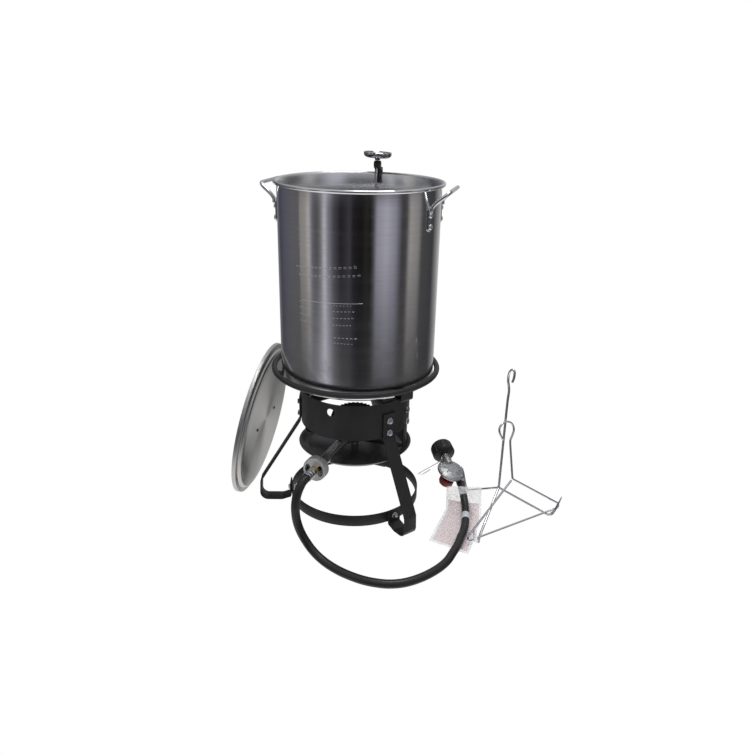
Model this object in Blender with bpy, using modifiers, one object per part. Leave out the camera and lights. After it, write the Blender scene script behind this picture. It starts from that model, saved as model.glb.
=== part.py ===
# Turkey fryer kit: pot on a burner stand, leaning lid, hose and regulator, poultry
# rack with lifting hook, and an instruction bag. Scene in metres, +Z up, origin on the
# ground under the middle of the kit's bounding box. Lengths below are millimetres and
# angles degrees; parts are placed from the stand's axis, and kit_frame shifts them all.
import bpy
import bmesh
from itertools import product
from math import sin, cos, pi, radians, atan2, tan
from mathutils import Vector, Matrix

for ob in list(bpy.data.objects):
    bpy.data.objects.remove(ob, do_unlink=True)

MM = 0.001
UP = Vector((0, 0, 1))
SIDES = (-1, 1)

# ---------------------------------------------------------------- main dimensions
KIT_SHIFT = (-93.11, 51.80)      # position of the stand's axis in the scene

POT_AXIS = (3.5, 2.9)            # the pot sits a little off the stand's axis
POT_R, POT_WALL = 155.0, 1.5
POT_Z0, POT_Z1 = 292.33, 676.8   # underside of the base, centre of the rolled rim
RIM_BEAD = 3.4                   # radius of the rolled rim's section

GUARD_R, GUARD_T = 113.2, 1.2
GUARD_Z0, GUARD_Z1 = 193.1, 267.9
BASE_R, BASE_T = 137.2, 3.0
BASE_Z0, BASE_Z1 = 12.0, 35.8
LEG_AZ = (-54.0, 66.0, 180.0)
LEG_REACH = (191.5, 200.0, 204.8)    # outer radius of each foot bend

TUBE_AZ, TUBE_Z, TUBE_R = -113.0, 166.0, 10.0
HOSE_R = 8.2

# ---------------------------------------------------------------- scene
KIT = bpy.data.collections.new("turkey_fryer_kit")
CUT = bpy.data.collections.new("cutters")
bpy.context.scene.collection.children.link(KIT)
bpy.context.scene.collection.children.link(CUT)
ROOT = bpy.data.objects.new("kit_frame", None)
ROOT.location = (KIT_SHIFT[0] * MM, KIT_SHIFT[1] * MM, 0.0)
KIT.objects.link(ROOT)


def material(name, colour, roughness, metallic=0.0):
    mat = bpy.data.materials.new(name)
    mat.use_nodes = True
    shader = mat.node_tree.nodes["Principled BSDF"]
    shader.inputs["Base Color"].default_value = (*colour, 1.0)
    shader.inputs["Roughness"].default_value = roughness
    shader.inputs["Metallic"].default_value = metallic
    return mat


ALU = material("pot_aluminium", colour=(0.66, 0.66, 0.67), roughness=0.22, metallic=1.0)
ALU_LID = material("lid_aluminium", colour=(0.55, 0.55, 0.54), roughness=0.32, metallic=1.0)
RIVET = material("rivet_aluminium", colour=(0.80, 0.80, 0.80), roughness=0.25, metallic=1.0)
PLATED = material("plated_wire", colour=(0.70, 0.70, 0.72), roughness=0.16, metallic=1.0)
BLACK = material("black_paint", colour=(0.012, 0.012, 0.013), roughness=0.42)
CAST = material("cast_iron", colour=(0.030, 0.030, 0.032), roughness=0.75, metallic=0.4)
PAN = material("pan_paint", colour=(0.040, 0.040, 0.043), roughness=0.38, metallic=0.2)
ZINC = material("zinc_bolt", colour=(0.62, 0.64, 0.68), roughness=0.30, metallic=1.0)
TUBE = material("steel_tube", colour=(0.60, 0.60, 0.61), roughness=0.25, metallic=1.0)
SHUTTER = material("shutter_zinc", colour=(0.50, 0.50, 0.50), roughness=0.40, metallic=0.9)
BRASS = material("brass", colour=(0.72, 0.50, 0.20), roughness=0.28, metallic=1.0)
RUBBER = material("hose_rubber", colour=(0.012, 0.012, 0.012), roughness=0.50)
SLEEVE = material("sleeve_foil", colour=(0.62, 0.64, 0.66), roughness=0.40, metallic=0.3)
DIECAST = material("diecast_zinc", colour=(0.33, 0.33, 0.34), roughness=0.30, metallic=0.9)
BONNET = material("bonnet_paint", colour=(0.045, 0.045, 0.048), roughness=0.45, metallic=0.1)
NUT = material("nut_plastic", colour=(0.008, 0.008, 0.008), roughness=0.40)
KNOB = material("knob_plastic", colour=(0.16, 0.010, 0.010), roughness=0.45)
BAG = material("bag_sheet", colour=(0.72, 0.68, 0.69), roughness=0.45)
DIAL = material("dial_case", colour=(0.10, 0.10, 0.105), roughness=0.22, metallic=0.8)
LENS = material("dial_lens", colour=(0.85, 0.88, 0.88), roughness=0.05)
NEEDLE = material("needle_red", colour=(0.45, 0.02, 0.02), roughness=0.4)
CLIP = material("clip_plastic", colour=(0.010, 0.010, 0.010), roughness=0.45)


# ---------------------------------------------------------------- points and frames
def metres(x, y, z):
    return Vector((x * MM, y * MM, z * MM))


def polar(radius, angle, z):
    a = radians(angle)
    return metres(radius * cos(a), radius * sin(a), z)


def frame(origin, zdir, xhint=(1, 0, 0)):
    """Matrix with local Z along zdir and local X as near xhint as possible."""
    z = Vector(zdir).normalized()
    x = Vector(xhint)
    x = (x - z * x.dot(z)).normalized()
    matrix = Matrix((x, z.cross(x), z)).transposed().to_4x4()
    matrix.translation = metres(*origin)
    return matrix


def radial(az, z=0.0, centre=(0.0, 0.0)):
    """Local Z points outwards along azimuth az, local X up; origin on the axis."""
    a = radians(az)
    return frame((*centre, z), (cos(a), sin(a), 0), UP)


def upright(az=0.0, centre=(0.0, 0.0)):
    """Local Z up, local X outwards along azimuth az; origin on the ground."""
    a = radians(az)
    return frame((*centre, 0), UP, (cos(a), sin(a), 0))


def fillet(points, radii, steps):
    """Round the corners of a polyline; one radius per inner point."""
    pts = [Vector(p) for p in points]
    out = [pts[0]]
    for before, corner, after, radius in zip(pts, pts[1:], pts[2:], radii):
        back, ahead = before - corner, after - corner
        back_dir, ahead_dir = back.normalized(), ahead.normalized()
        half = back_dir.angle(ahead_dir) / 2
        # shorten the fillet where it would use up half a side
        length = min(radius / tan(half), 0.49 * back.length, 0.49 * ahead.length)
        radius = length * tan(half)
        centre = corner + (back_dir + ahead_dir).normalized() * (radius / sin(half))
        start = corner + back_dir * length - centre
        end = corner + ahead_dir * length - centre
        sweep = start.angle(end)
        axis = start.cross(end).normalized()
        for k in range(steps + 1):
            out.append(centre + Matrix.Rotation(sweep * k / steps, 3, axis) @ start)
    out.append(pts[-1])
    return out


def spline(points, steps):
    """Catmull-Rom curve through the points, with the given steps per span."""
    pts = [Vector(p) for p in points]
    pts = [pts[0] * 2 - pts[1]] + pts + [pts[-1] * 2 - pts[-2]]
    out = []
    for a, b, c, d in zip(pts, pts[1:], pts[2:], pts[3:]):
        for k in range(steps):
            t = k / steps
            out.append(0.5 * (2 * b + (c - a) * t + (2 * a - 5 * b + 4 * c - d) * t ** 2
                              + (3 * b - a - 3 * c + d) * t ** 3))
    out.append(pts[-2])
    return out


# ---------------------------------------------------------------- object builders
def add_object(name, data, mat=None, matrix=None, helper=False):
    ob = bpy.data.objects.new(name, data)
    (CUT if helper else KIT).objects.link(ob)
    if mat is not None:
        ob.data.materials.append(mat)
    ob.parent = ROOT
    if matrix is not None:
        ob.matrix_local = matrix
    if helper:
        ob.hide_render = True
        ob.display_type = 'WIRE'
    return ob


def mesh_of(bm, name):
    bmesh.ops.recalc_face_normals(bm, faces=bm.faces[:])
    mesh = bpy.data.meshes.new(name)
    bm.to_mesh(mesh)
    bm.free()
    return mesh


def solid(name, bodies, mat=None, matrix=None, helper=False):
    """One mesh of lofted bodies, each a list of equal-length rings in metres."""
    bm = bmesh.new()
    for rings in bodies:
        rows = [[bm.verts.new(p) for p in ring] for ring in rings]
        count = len(rows[0])
        for a, b in zip(rows, rows[1:]):
            for i in range(count):
                j = (i + 1) % count
                bm.faces.new((a[i], a[j], b[j], b[i]))
        bm.faces.new(rows[0][::-1])
        bm.faces.new(rows[-1])
    return add_object(name, mesh_of(bm, name), mat, matrix, helper)


def prism_rings(outline, z0, z1, matrix=Matrix()):
    return [[matrix @ metres(x, y, z) for x, y in outline] for z in (z0, z1)]


def cylinders(name, rods, sides=16):
    """Helper mesh of separate rods: (matrix, radius, z0, z1) along each local Z."""
    return solid(name, [[[matrix @ polar(radius, 360 * k / sides, z) for k in range(sides)]
                         for z in (z0, z1)] for matrix, radius, z0, z1 in rods], helper=True)


ROUND, HEX = 1.0, cos(pi / 6)    # radius factor on every second corner of a stack ring


def stack(name, rings, mat, matrix, sides=12):
    """Stepped bar on one axis: rings of (height, radius, ROUND or HEX)."""
    rows = [[polar(radius * (factor if k % 2 else 1.0), 360 * k / sides, z)
             for k in range(sides)] for z, radius, factor in rings]
    return solid(name, [rows], mat, matrix)


def turned(name, profile, steps, mat, matrix=None, closed=False):
    """Revolve a profile of (radius, height) about local Z."""
    mesh = bpy.data.meshes.new(name)
    edges = [(i, i + 1) for i in range(len(profile) - 1)]
    if closed:
        edges.append((len(profile) - 1, 0))
    mesh.from_pydata([(r * MM, 0.0, z * MM) for r, z in profile], edges, [])
    ob = add_object(name, mesh, mat, matrix)
    screw = ob.modifiers.new("turn", 'SCREW')
    screw.axis = 'Z'
    screw.angle = 2 * pi
    screw.screw_offset = 0.0
    screw.steps = steps
    screw.render_steps = steps
    screw.use_merge_vertices = True
    screw.merge_threshold = 0.00005
    screw.use_smooth_shade = False
    return ob


def hoop(name, inner, outer, z0, z1, steps, mat, matrix=None):
    """Plain band between two radii and two heights."""
    profile = [(inner, z1), (outer, z1), (outer, z0), (inner, z0)]
    return turned(name, profile, steps, mat, matrix, closed=True)


def strap_rings(path, width, thick, matrix=Matrix()):
    """Sections of a flat bar along a path in the XZ plane, mitred at its bends."""
    across = Vector((0, 1, 0))
    spans = [(b - a).normalized() for a, b in zip(path, path[1:])]
    rings = []
    for i, point in enumerate(path):
        ahead = spans[min(i, len(spans) - 1)]
        along = (spans[max(i - 1, 0)] + ahead).normalized()
        normal = across.cross(along).normalized() * (thick / 2 / max(0.5, along.dot(ahead)))
        rings.append([matrix @ ((point + normal * a + across * (width / 2 * b)) * MM)
                      for a, b in ((1, 1), (1, -1), (-1, -1), (-1, 1))])
    return rings


def wire(name, points, radius, mat, bevel_resolution=2):
    curve = bpy.data.curves.new(name, 'CURVE')
    curve.dimensions = '3D'
    curve.bevel_depth = radius * MM
    curve.bevel_resolution = bevel_resolution
    curve.use_fill_caps = True
    curve.resolution_u = 1
    poly = curve.splines.new('POLY')
    poly.points.add(len(points) - 1)
    for target, p in zip(poly.points, points):
        target.co = (p[0] * MM, p[1] * MM, p[2] * MM, 1.0)
    return add_object(name, curve, mat)


def meshed_wire(name, points, radius, mat, matrix=None):
    """A wire turned into a closed mesh, so that it can take booleans."""
    ob = wire(name, points, radius, mat)
    bpy.context.view_layer.update()
    depsgraph = bpy.context.evaluated_depsgraph_get()
    swept = bpy.data.meshes.new_from_object(ob.evaluated_get(depsgraph))
    bm = bmesh.new()
    bm.from_mesh(swept)
    bpy.data.objects.remove(ob, do_unlink=True)
    bpy.data.meshes.remove(swept)
    bmesh.ops.remove_doubles(bm, verts=bm.verts[:], dist=1e-6)
    return add_object(name, mesh_of(bm, name), mat, matrix)


def boolean(ob, operation, *others):
    for other in others:
        mod = ob.modifiers.new(operation.lower(), 'BOOLEAN')
        mod.operation = operation
        mod.solver = 'EXACT'
        mod.object = other


# ---------------------------------------------------------------- pot
POT_INNER_R = POT_R - POT_WALL
BEAD_R = POT_R + RIM_BEAD        # radius of the rolled rim's centreline

# (radius, height above the underside)
POT_INSIDE = [(0, 3.0), (138, 3.0), (147, 5.5), (151.8, 10.5), (POT_INNER_R, 18)]
POT_OUTSIDE = [(POT_R, 16), (152.6, 7.0), (148.0, 2.2), (141, 0), (0, 0)]

profile = [(r, POT_Z0 + h) for r, h in POT_INSIDE] + [(POT_INNER_R, POT_Z1 - 2.0)]
profile += [(BEAD_R - RIM_BEAD * cos(radians(a)), POT_Z1 + RIM_BEAD * sin(radians(a)))
            for a in (30, 90, 150, 210, 270)]
profile += [(POT_R, POT_Z1 - 5.0)] + [(r, POT_Z0 + h) for r, h in POT_OUTSIDE]
pot = turned("pot_body", profile, 48, ALU, upright(centre=POT_AXIS))

HANDLES = {"pot_handle_right": -16.5, "pot_handle_left": 163.5}    # azimuths
HANDLE_SPREAD = 19.5             # azimuth from a handle's middle to each foot
RIVET_Z = (610.0, 631.0)
rivet_frames = [radial(az + side * HANDLE_SPREAD, z, POT_AXIS)
                for az, side, z in product(HANDLES.values(), SIDES, RIVET_Z)]
rivet_holes = cylinders("rivet_holes", [(m, 2.8, 140.0, 164.0) for m in rivet_frames], sides=8)
boolean(pot, 'DIFFERENCE', rivet_holes)

# half of a handle, foot to grip: (outwards, along the grip, up)
HANDLE_HALF = [
    (149.8, 53.0, 637.8), (150.0, 52.95, 643), (153.0, 52.8, 648), (158.0, 52.4, 653.5),
    (171.0, 51.0, 664.0), (175.8, 48.6, 668.2), (178.4, 44.5, 670.6), (179.4, 39.0, 671.4),
]
HANDLE_WIRE = 3.5
# flat foot plate: (height, along the wall) corners, then inner and outer radius
FOOT_OUTLINE = [(602, -6.5), (645, -6.5), (645, 6.5), (602, 6.5)]
FOOT_RADII = (155.4, 157.6)
for name, az in HANDLES.items():
    matrix = upright(az, POT_AXIS)
    path = HANDLE_HALF + [(x, -y, z) for x, y, z in reversed(HANDLE_HALF)]
    handle = meshed_wire(name, path, HANDLE_WIRE, PLATED, matrix)
    feet = solid(name + "_feet", [prism_rings(FOOT_OUTLINE, *FOOT_RADII,
                                              radial(side * HANDLE_SPREAD)) for side in SIDES],
                 matrix=matrix, helper=True)
    boolean(handle, 'UNION', feet)
    boolean(handle, 'DIFFERENCE', rivet_holes)

# (rivet radius, distance from the pot's axis)
POT_RIVET = [(0, 160.5), (2.6, 160.1), (4.6, 159.3), (5.6, 157.95), (2.4, 157.95),
             (2.4, 152.8), (4.6, 152.8), (3.6, 151.6), (0, 151.4)]
for number, matrix in enumerate(rivet_frames, 1):
    turned("pot_rivet_%d" % number, POT_RIVET, 8, RIVET, matrix)

# ---------------------------------------------------------------- thermometer on the rim
DIAL_CENTRE = (40.2, 143.0, 713.5)
STEM_DIR = (0.041, 0, 1)         # the stem leans slightly from the vertical
NEEDLE_DIR = (-0.8, 0.6, 0)
dial_frame = frame(DIAL_CENTRE, STEM_DIR)

# (radius, height): dial face, bezel, back, then the stem down to its tip
DIAL_PROFILE = [
    (0, 1.5), (25.4, 1.5), (25.4, 4.0), (26.6, 4.0), (26.6, 6.6), (28.2, 6.6), (28.6, 4.0),
    (27.6, -1.0), (22.0, -4.6), (6.0, -5.2), (5.0, -9.3), (2.0, -9.6), (2.0, -290),
    (0.6, -297), (0, -297),
]
turned("thermometer_dial", DIAL_PROFILE, 24, DIAL, dial_frame)
turned("thermometer_lens", [(0, 5.6), (25.9, 5.6), (25.9, 4.3), (0, 4.3)], 24, LENS, dial_frame)
NEEDLE_OUTLINE = [(-7, -1.4), (19.5, -0.35), (19.5, 0.35), (-7, 1.4)]
solid("thermometer_needle", [prism_rings(NEEDLE_OUTLINE, 2.3, 3.0)], NEEDLE,
      frame(DIAL_CENTRE, STEM_DIR, NEEDLE_DIR))

# clip over the rim: (distance from the pot's axis, height)
CLIP_OUTLINE = [
    (147.9, 659), (147.9, 686), (140.0, 688.5), (137.8, 697), (141, 703), (149.6, 703),
    (152.5, 698), (151, 690.5), (165.6, 689.5), (166.8, 687), (166.8, 664), (164.4, 661),
    (163.6, 664), (163.6, 683.6), (152.7, 683.6), (152.7, 661.5), (150.5, 659),
]
CLIP_HALF = 6.6                  # half its length along the rim
clip_az = atan2(DIAL_CENTRE[1] - POT_AXIS[1], DIAL_CENTRE[0] - POT_AXIS[0])
# local X outwards, Y up, Z along the rim
clip_frame = frame((*POT_AXIS, 0), (sin(clip_az), -cos(clip_az), 0),
                   (cos(clip_az), sin(clip_az), 0))
clip = solid("thermometer_clip",
             [prism_rings(CLIP_OUTLINE, CLIP_HALF, -CLIP_HALF, clip_frame)], CLIP)
boolean(clip, 'DIFFERENCE', cylinders("stem_hole", [(dial_frame, 2.4, -70.0, 5.0)]))

# ---------------------------------------------------------------- stand
BAR_T = 3.0                      # thickness of the legs and brackets
LEG_W = 30.0
LEG_TOP_R, LEG_TOE_R = 115.2, 139.3      # centrelines of a leg's two bolted ends
RING_R, RING_WIRE, RING_Z = 165.7, 5.5, 312.3
RING_BRACKET_R, RING_BRACKET_W, RING_BRACKET_Z = 109.0, 28.0, 290.2
STRAP_AZ = (-20.0, 160.0)        # the two arms of the burner bracket
STRAP_R, STRAP_W, STRAP_Z = 109.4, 25.0, 147.4

BOLT_Z, BASE_BOLT_Z = (203.0, 229.0), 24.0
BOLT_HOLE_R, BOLT_SHANK_R, BOLT_HEX_R = 3.4, 3.0, 5.8
BOLT_HEAD, BOLT_NUT, BOLT_END = 4.2, 4.6, 7.2    # head and nut heights, shank end
BOLT_GAP = 0.3                   # from a bar's face to a head or nut
BASE_NUT_R, STRAP_HEAD_R = 133.8, 113.55

holes = []
for az in LEG_AZ:
    holes += [(radial(az, z), BOLT_HOLE_R, 98.0, 125.0) for z in BOLT_Z]
    holes.append((radial(az, BASE_BOLT_Z), BOLT_HOLE_R, 125.0, 148.0))
holes += [(radial(az, z), BOLT_HOLE_R, 98.0, 125.0) for az, z in product(STRAP_AZ, BOLT_Z)]
bolt_holes = cylinders("bolt_holes", holes, sides=8)

LIGHT_HOLE_AZ, LIGHT_HOLE_Z, LIGHT_HOLE_R = -115.4, 249.5, 8.0
light_hole = cylinders("light_hole", [(radial(LIGHT_HOLE_AZ, LIGHT_HOLE_Z), LIGHT_HOLE_R,
                                       100.0, 125.0)], sides=20)

guard = hoop("wind_guard", GUARD_R - GUARD_T, GUARD_R, GUARD_Z0, GUARD_Z1, 48, BLACK)
boolean(guard, 'DIFFERENCE', bolt_holes, light_hole)

base = hoop("base_ring", BASE_R - BASE_T, BASE_R, BASE_Z0, BASE_Z1, 48, BLACK)
boolean(base, 'DIFFERENCE', bolt_holes)

# ring under the pot, joined to its three cranked brackets
ring = turned("pot_ring", [(RING_R + RING_WIRE * sin(radians(a)),
                            RING_Z + RING_WIRE * cos(radians(a))) for a in range(0, 360, 45)],
              48, BLACK, closed=True)
path = fillet([(RING_BRACKET_R, 0, 197.0), (RING_BRACKET_R, 0, RING_BRACKET_Z),
               (165.8, 0, RING_BRACKET_Z), (165.8, 0, 309.5)], [7.0, 5.0], 3)
brackets = solid("ring_brackets", [strap_rings(path, RING_BRACKET_W, BAR_T, upright(az))
                                   for az in LEG_AZ], helper=True)
boolean(ring, 'UNION', brackets)
boolean(ring, 'DIFFERENCE', bolt_holes)

# legs: down the guard, out to the foot bend, back along the ground to the base ring
for number, (az, reach) in enumerate(zip(LEG_AZ, LEG_REACH), 1):
    path = fillet([(LEG_TOP_R, 0, 245.0), (LEG_TOP_R, 0, 190.5), (reach - 1.8, 0, 45.5),
                   (reach, 0, BAR_T / 2), (158.0, 0, BAR_T / 2), (LEG_TOE_R, 0, 8.0),
                   (LEG_TOE_R, 0, 38.5)], [10.0, 10.0, 16.0, 6.0, 3.0], 3)
    leg = solid("stand_leg_%d" % number, [strap_rings(path, LEG_W, BAR_T)], BLACK, upright(az))
    boolean(leg, 'DIFFERENCE', bolt_holes)


def hex_bolts(name, azimuths, heights, outer, inner):
    """Radial bolts: head outside the radius outer, nut inside the radius inner."""
    rings = [(outer + BOLT_HEAD, BOLT_HEX_R), (outer, BOLT_HEX_R), (outer, BOLT_SHANK_R),
             (inner, BOLT_SHANK_R), (inner, BOLT_HEX_R), (inner - BOLT_NUT, BOLT_HEX_R),
             (inner - BOLT_NUT, BOLT_SHANK_R), (inner - BOLT_END, BOLT_SHANK_R)]
    # with six sides, every ring is a plain hexagon
    rings = [(z, radius, ROUND) for z, radius in rings]
    for number, (az, z) in enumerate(product(azimuths, heights), 1):
        stack("%s_%d" % (name, number), rings, ZINC, radial(az, z), sides=6)


FACE = BAR_T / 2 + BOLT_GAP      # bar centreline to a head or nut
hex_bolts("leg_bolt", LEG_AZ, BOLT_Z, LEG_TOP_R + FACE, RING_BRACKET_R - FACE)
hex_bolts("base_bolt", LEG_AZ, (BASE_BOLT_Z,), LEG_TOE_R + FACE, BASE_NUT_R)
hex_bolts("bracket_bolt", STRAP_AZ, BOLT_Z, STRAP_HEAD_R, STRAP_R - FACE)

# U-shaped bracket carrying the burner
path = fillet([(STRAP_R, 0, 241.0), (STRAP_R, 0, STRAP_Z), (-STRAP_R, 0, STRAP_Z),
               (-STRAP_R, 0, 241.0)], [9.0, 9.0], 4)
bracket = solid("burner_bracket", [strap_rings(path, STRAP_W, BAR_T)], BLACK,
                upright(STRAP_AZ[0]))
centre_hole = cylinders("centre_hole", [(upright(), 4.5, 140.0, 161.0)])
boolean(bracket, 'DIFFERENCE', bolt_holes, centre_hole)

PAN_PROFILE = [(4.6, 129.2), (92.0, 129.2), (100.0, 131.2), (115.6, 143.0), (118.4, 143.9),
               (118.9, 142.8), (116.4, 141.8), (100.9, 130.0), (92.5, 128.0), (4.6, 128.0)]
turned("drip_pan", PAN_PROFILE, 44, PAN, closed=True)

# head, washerless shank through the pan, round spacer, shank into the burner
stack("centre_bolt",
      [(122.0, 8.5, HEX), (127.7, 8.5, HEX), (127.7, 4.0, ROUND), (129.5, 4.0, ROUND),
       (129.5, 8.0, ROUND), (145.6, 8.0, ROUND), (145.6, 4.0, ROUND), (158.5, 4.0, ROUND)],
      ZINC, upright())

# ---------------------------------------------------------------- burner and gas tube
# heights along tube_frame are distances out from the stand's axis
tube_frame = radial(TUBE_AZ, TUBE_Z)

BURNER_PROFILE = [
    (0, 214), (20, 213.5), (38, 210), (48, 203), (51, 196), (48, 188), (36, 182),
    (28, 179), (26, 170), (26, 159), (31, 154), (31, 149.3), (0, 149.3),
]
burner = turned("burner_head", BURNER_PROFILE, 28, CAST)
socket = cylinders("burner_socket", [(tube_frame, 14.2, 8.0, 47.0)], sides=20)
bore = cylinders("burner_socket_bore", [(tube_frame, TUBE_R + 0.5, 23.5, 60.0)], sides=20)
boolean(burner, 'UNION', socket)
boolean(burner, 'DIFFERENCE', bore, centre_hole)

# openings of the mixing bell and air shutter: two sectors either side of the jet
SLOT_OUTER_R, SLOT_INNER_R = 18.2, 8.6
sectors = []
for turn in (90, 270):
    sectors.append([
        [tube_frame @ polar(SLOT_OUTER_R, turn + a, z) for a in range(-48, 49, 16)]
        + [tube_frame @ polar(SLOT_INNER_R, turn + a, z) for a in range(40, -41, -20)]
        for z in (189.0, 201.0)])
slots = solid("air_slots", sectors, helper=True)

TUBE_PROFILE = [(5.3, 195.0), (20.6, 195.0), (20.6, 181.0), (TUBE_R, 170.0), (TUBE_R, 24.0),
                (8.5, 24.0), (8.5, 171.0), (19.2, 182.0), (19.2, 193.2), (5.3, 193.2)]
tube = turned("venturi_tube", TUBE_PROFILE, 24, TUBE, tube_frame, closed=True)
boolean(tube, 'DIFFERENCE', slots)

SHUTTER_PROFILE = [(5.5, 197.6), (22.6, 197.6), (23.5, 196.6), (23.5, 179.5),
                   (21.2, 179.5), (21.2, 195.4), (5.5, 195.4)]
shutter = turned("air_shutter", SHUTTER_PROFILE, 30, SHUTTER, tube_frame, closed=True)
boolean(shutter, 'DIFFERENCE', slots)

stack("gas_orifice",
      [(186.0, 5.0, ROUND), (198.1, 5.0, ROUND), (198.1, 8.0, HEX),
       (205.6, 8.0, HEX), (205.6, 5.0, ROUND), (208.6, 5.0, ROUND)], BRASS, tube_frame)
turned("hose_ferrule_burner",
       [(5.4, 209.0), (8.6, 209.0), (8.6, 229.0), (9.4, 229.0), (9.4, 206.2), (5.4, 206.2)],
       20, PLATED, tube_frame, closed=True)

# ---------------------------------------------------------------- hose
OUTLET_X, OUTLET_Z = 235.0, 31.5         # line of the regulator's outlet, along Y
HOSE_START = 209.2                       # distance from the stand's axis

# centreline stations (x, y, z) between the two straight ends
HOSE_RUN = [
    (-95.8, -220.6, 162.5), (-101.4, -227.8, 153.5), (-106.2, -232.0, 139.5),
    (-108.8, -233.6, 122.0), (-109.0, -232.8, 104.0), (-107.4, -231.9, 88.0),
    (-104.0, -231.8, 73.0), (-98.7, -232.6, 58.5), (-90.6, -235.4, 44.0),
    (-79.8, -242.2, 31.0), (-65.5, -252.3, 20.5), (-46.0, -267.0, 13.5),
    (-19.7, -285.6, 10.0), (11.5, -303.0, 9.0), (38.0, -312.5, 8.9),
    (65.5, -316.4, 8.9), (95.0, -311.6, 8.9), (127.0, -295.6, 8.9),
    (156.0, -272.4, 8.9), (176.6, -248.2, 9.0), (190.4, -223.2, 9.5),
    (203.0, -198.0, 10.0), (211.2, -176.0, 10.2), (220.5, -152.0, 10.4),
    (227.6, -127.0, 10.8), (232.3, -102.0, 12.4), (234.6, -84.0, 14.8),
    (235.6, -66.0, 19.2), (235.6, -48.0, 25.2), (235.3, -30.0, 29.6), (235.0, -14.0, 31.3),
]
SLEEVE_STATION = 25                      # index in HOSE_RUN
SLEEVE_CENTRE = (232.2, -102.4, 12.45)

tube_dir = Vector((cos(radians(TUBE_AZ)), sin(radians(TUBE_AZ)), 0))
start = Vector((0, 0, TUBE_Z)) + tube_dir * HOSE_START
hose_path = [start, start + tube_dir * 10, start + tube_dir * 20.5]
hose_path += [Vector(p) for p in HOSE_RUN]
hose_path += [Vector((OUTLET_X, y, OUTLET_Z)) for y in (0.0, 8.0, 20.6)]
wire("gas_hose", hose_path, HOSE_R, RUBBER)

sleeve_dir = Vector(HOSE_RUN[SLEEVE_STATION + 1]) - Vector(HOSE_RUN[SLEEVE_STATION - 1])
hoop("hose_sleeve", 8.9, 9.6, -8.0, 8.0, 20, SLEEVE, frame(SLEEVE_CENTRE, sleeve_dir, UP))

# ---------------------------------------------------------------- regulator
# the round housing lies nearly flat, with its adjusting knob underneath
BODY_CENTRE, BODY_AXIS = (213.7, 16.4, 56.0), (-0.25, 0.25, -0.935)
INLET_START = Vector((211.1, 28.3, 61.9))
INLET_AIM = Vector((200.2, 72.3, 76.0))  # a point on the inlet's axis
body_frame = frame(BODY_CENTRE, BODY_AXIS)
inlet_frame = frame(INLET_START, INLET_AIM - INLET_START)
outlet_frame = frame((OUTLET_X, 70.0, OUTLET_Z), (0, -1, 0), UP)

body = turned("regulator_body", [(0, 5.0), (24.0, 5.0), (31.0, 2.6), (31.0, -2.2),
                                 (26.0, -5.0), (14.0, -8.0), (0, -9.0)],
              28, DIECAST, body_frame)
inlet = cylinders("regulator_ports", [(inlet_frame, 9.5, 3.0, 24.0)])
outlet = cylinders("regulator_outlet", [(outlet_frame, 5.5, 28.0, 45.6)])
post = cylinders("regulator_post", [(upright(centre=(230.0, 34.0)), 6.0, 25.0, 55.0)])
inlet_bore = cylinders("inlet_bore", [(inlet_frame, 6.3, 18.0, 30.0)])
boolean(body, 'UNION', inlet, post, outlet)
boolean(body, 'DIFFERENCE', inlet_bore)

hoop("hose_ferrule_regulator", 8.6, 9.5, 46.0, 68.0, 20, PLATED, outlet_frame)
turned("regulator_bonnet", [(0, 22.0), (9.5, 22.0), (12.5, 18.0), (13.5, 5.4), (0, 5.4)],
       20, BONNET, body_frame)

# fluted knob: (height, mean radius)
KNOB_RINGS = [(22.4, 12.5), (24.0, 15.6), (36.8, 16.4), (38.4, 14.6)]
KNOB_LOBES, KNOB_SIDES, LOBE_DEPTH = 8, 32, 0.045    # depth as a share of the radius
knob_angles = [360 * k / KNOB_SIDES for k in range(KNOB_SIDES)]
solid("pressure_knob",
      [[[polar(radius * (1 + LOBE_DEPTH * cos(radians(KNOB_LOBES * a))), a, z)
         for a in knob_angles] for z, radius in KNOB_RINGS]], KNOB, body_frame)

NIPPLE_PROFILE = [(0, 58.0), (4.5, 57.0), (7.6, 52.0), (8.4, 46.0), (7.0, 41.5),
                  (7.0, 24.4), (6.0, 24.4), (6.0, 18.5), (0, 18.5)]
turned("inlet_nipple", NIPPLE_PROFILE, 20, BRASS, inlet_frame)
COUPLING_PROFILE = [(18.4, 64.0), (23.2, 64.0), (24.6, 60.0), (25.4, 44.0), (25.4, 38.0),
                    (22.0, 34.0), (12.0, 31.0), (7.4, 31.0), (7.4, 37.0), (18.4, 40.8)]
turned("coupling_nut", COUPLING_PROFILE, 24, NUT, inlet_frame, closed=True)

# wire tie: most of a turn round the inlet, then a bent tail down to the ground
TIE_TAIL = [(185.0, 56.0, 52.0), (176.0, 66.0, 40.0), (150.5, 97.5, 3.4), (148.6, 98.4, 1.6),
            (150.6, 99.4, 1.3), (160.5, 98.6, 1.3), (170.0, 109.0, 1.3), (179.0, 120.0, 1.3)]
tie_turn = [inlet_frame @ polar(9.0, a, 27.6) / MM for a in range(435, 134, -30)]
wire("tie_wire", tie_turn + TIE_TAIL, 0.95, PLATED, bevel_resolution=1)

# ---------------------------------------------------------------- bag hung on the hose
# pairs of points at the two side edges: top, fold at the ground, far end
BAG_TOP = (Vector((198.0, -39.5, 50.0)), Vector((272.5, -44.0, 50.0)))
BAG_FOLD = (Vector((198.8, -48.0, 1.1)), Vector((266.0, -99.0, 1.1)))
BAG_END = (Vector((149.5, -170.0, 1.1)), Vector((222.5, -216.5, 1.1)))
BAG_Z = 1.1
RIPPLE = 1.6                     # height of the ripples near the side edges
BAG_CLEARANCE = 1.3              # sheet nearer than this to the hose is left out
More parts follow.
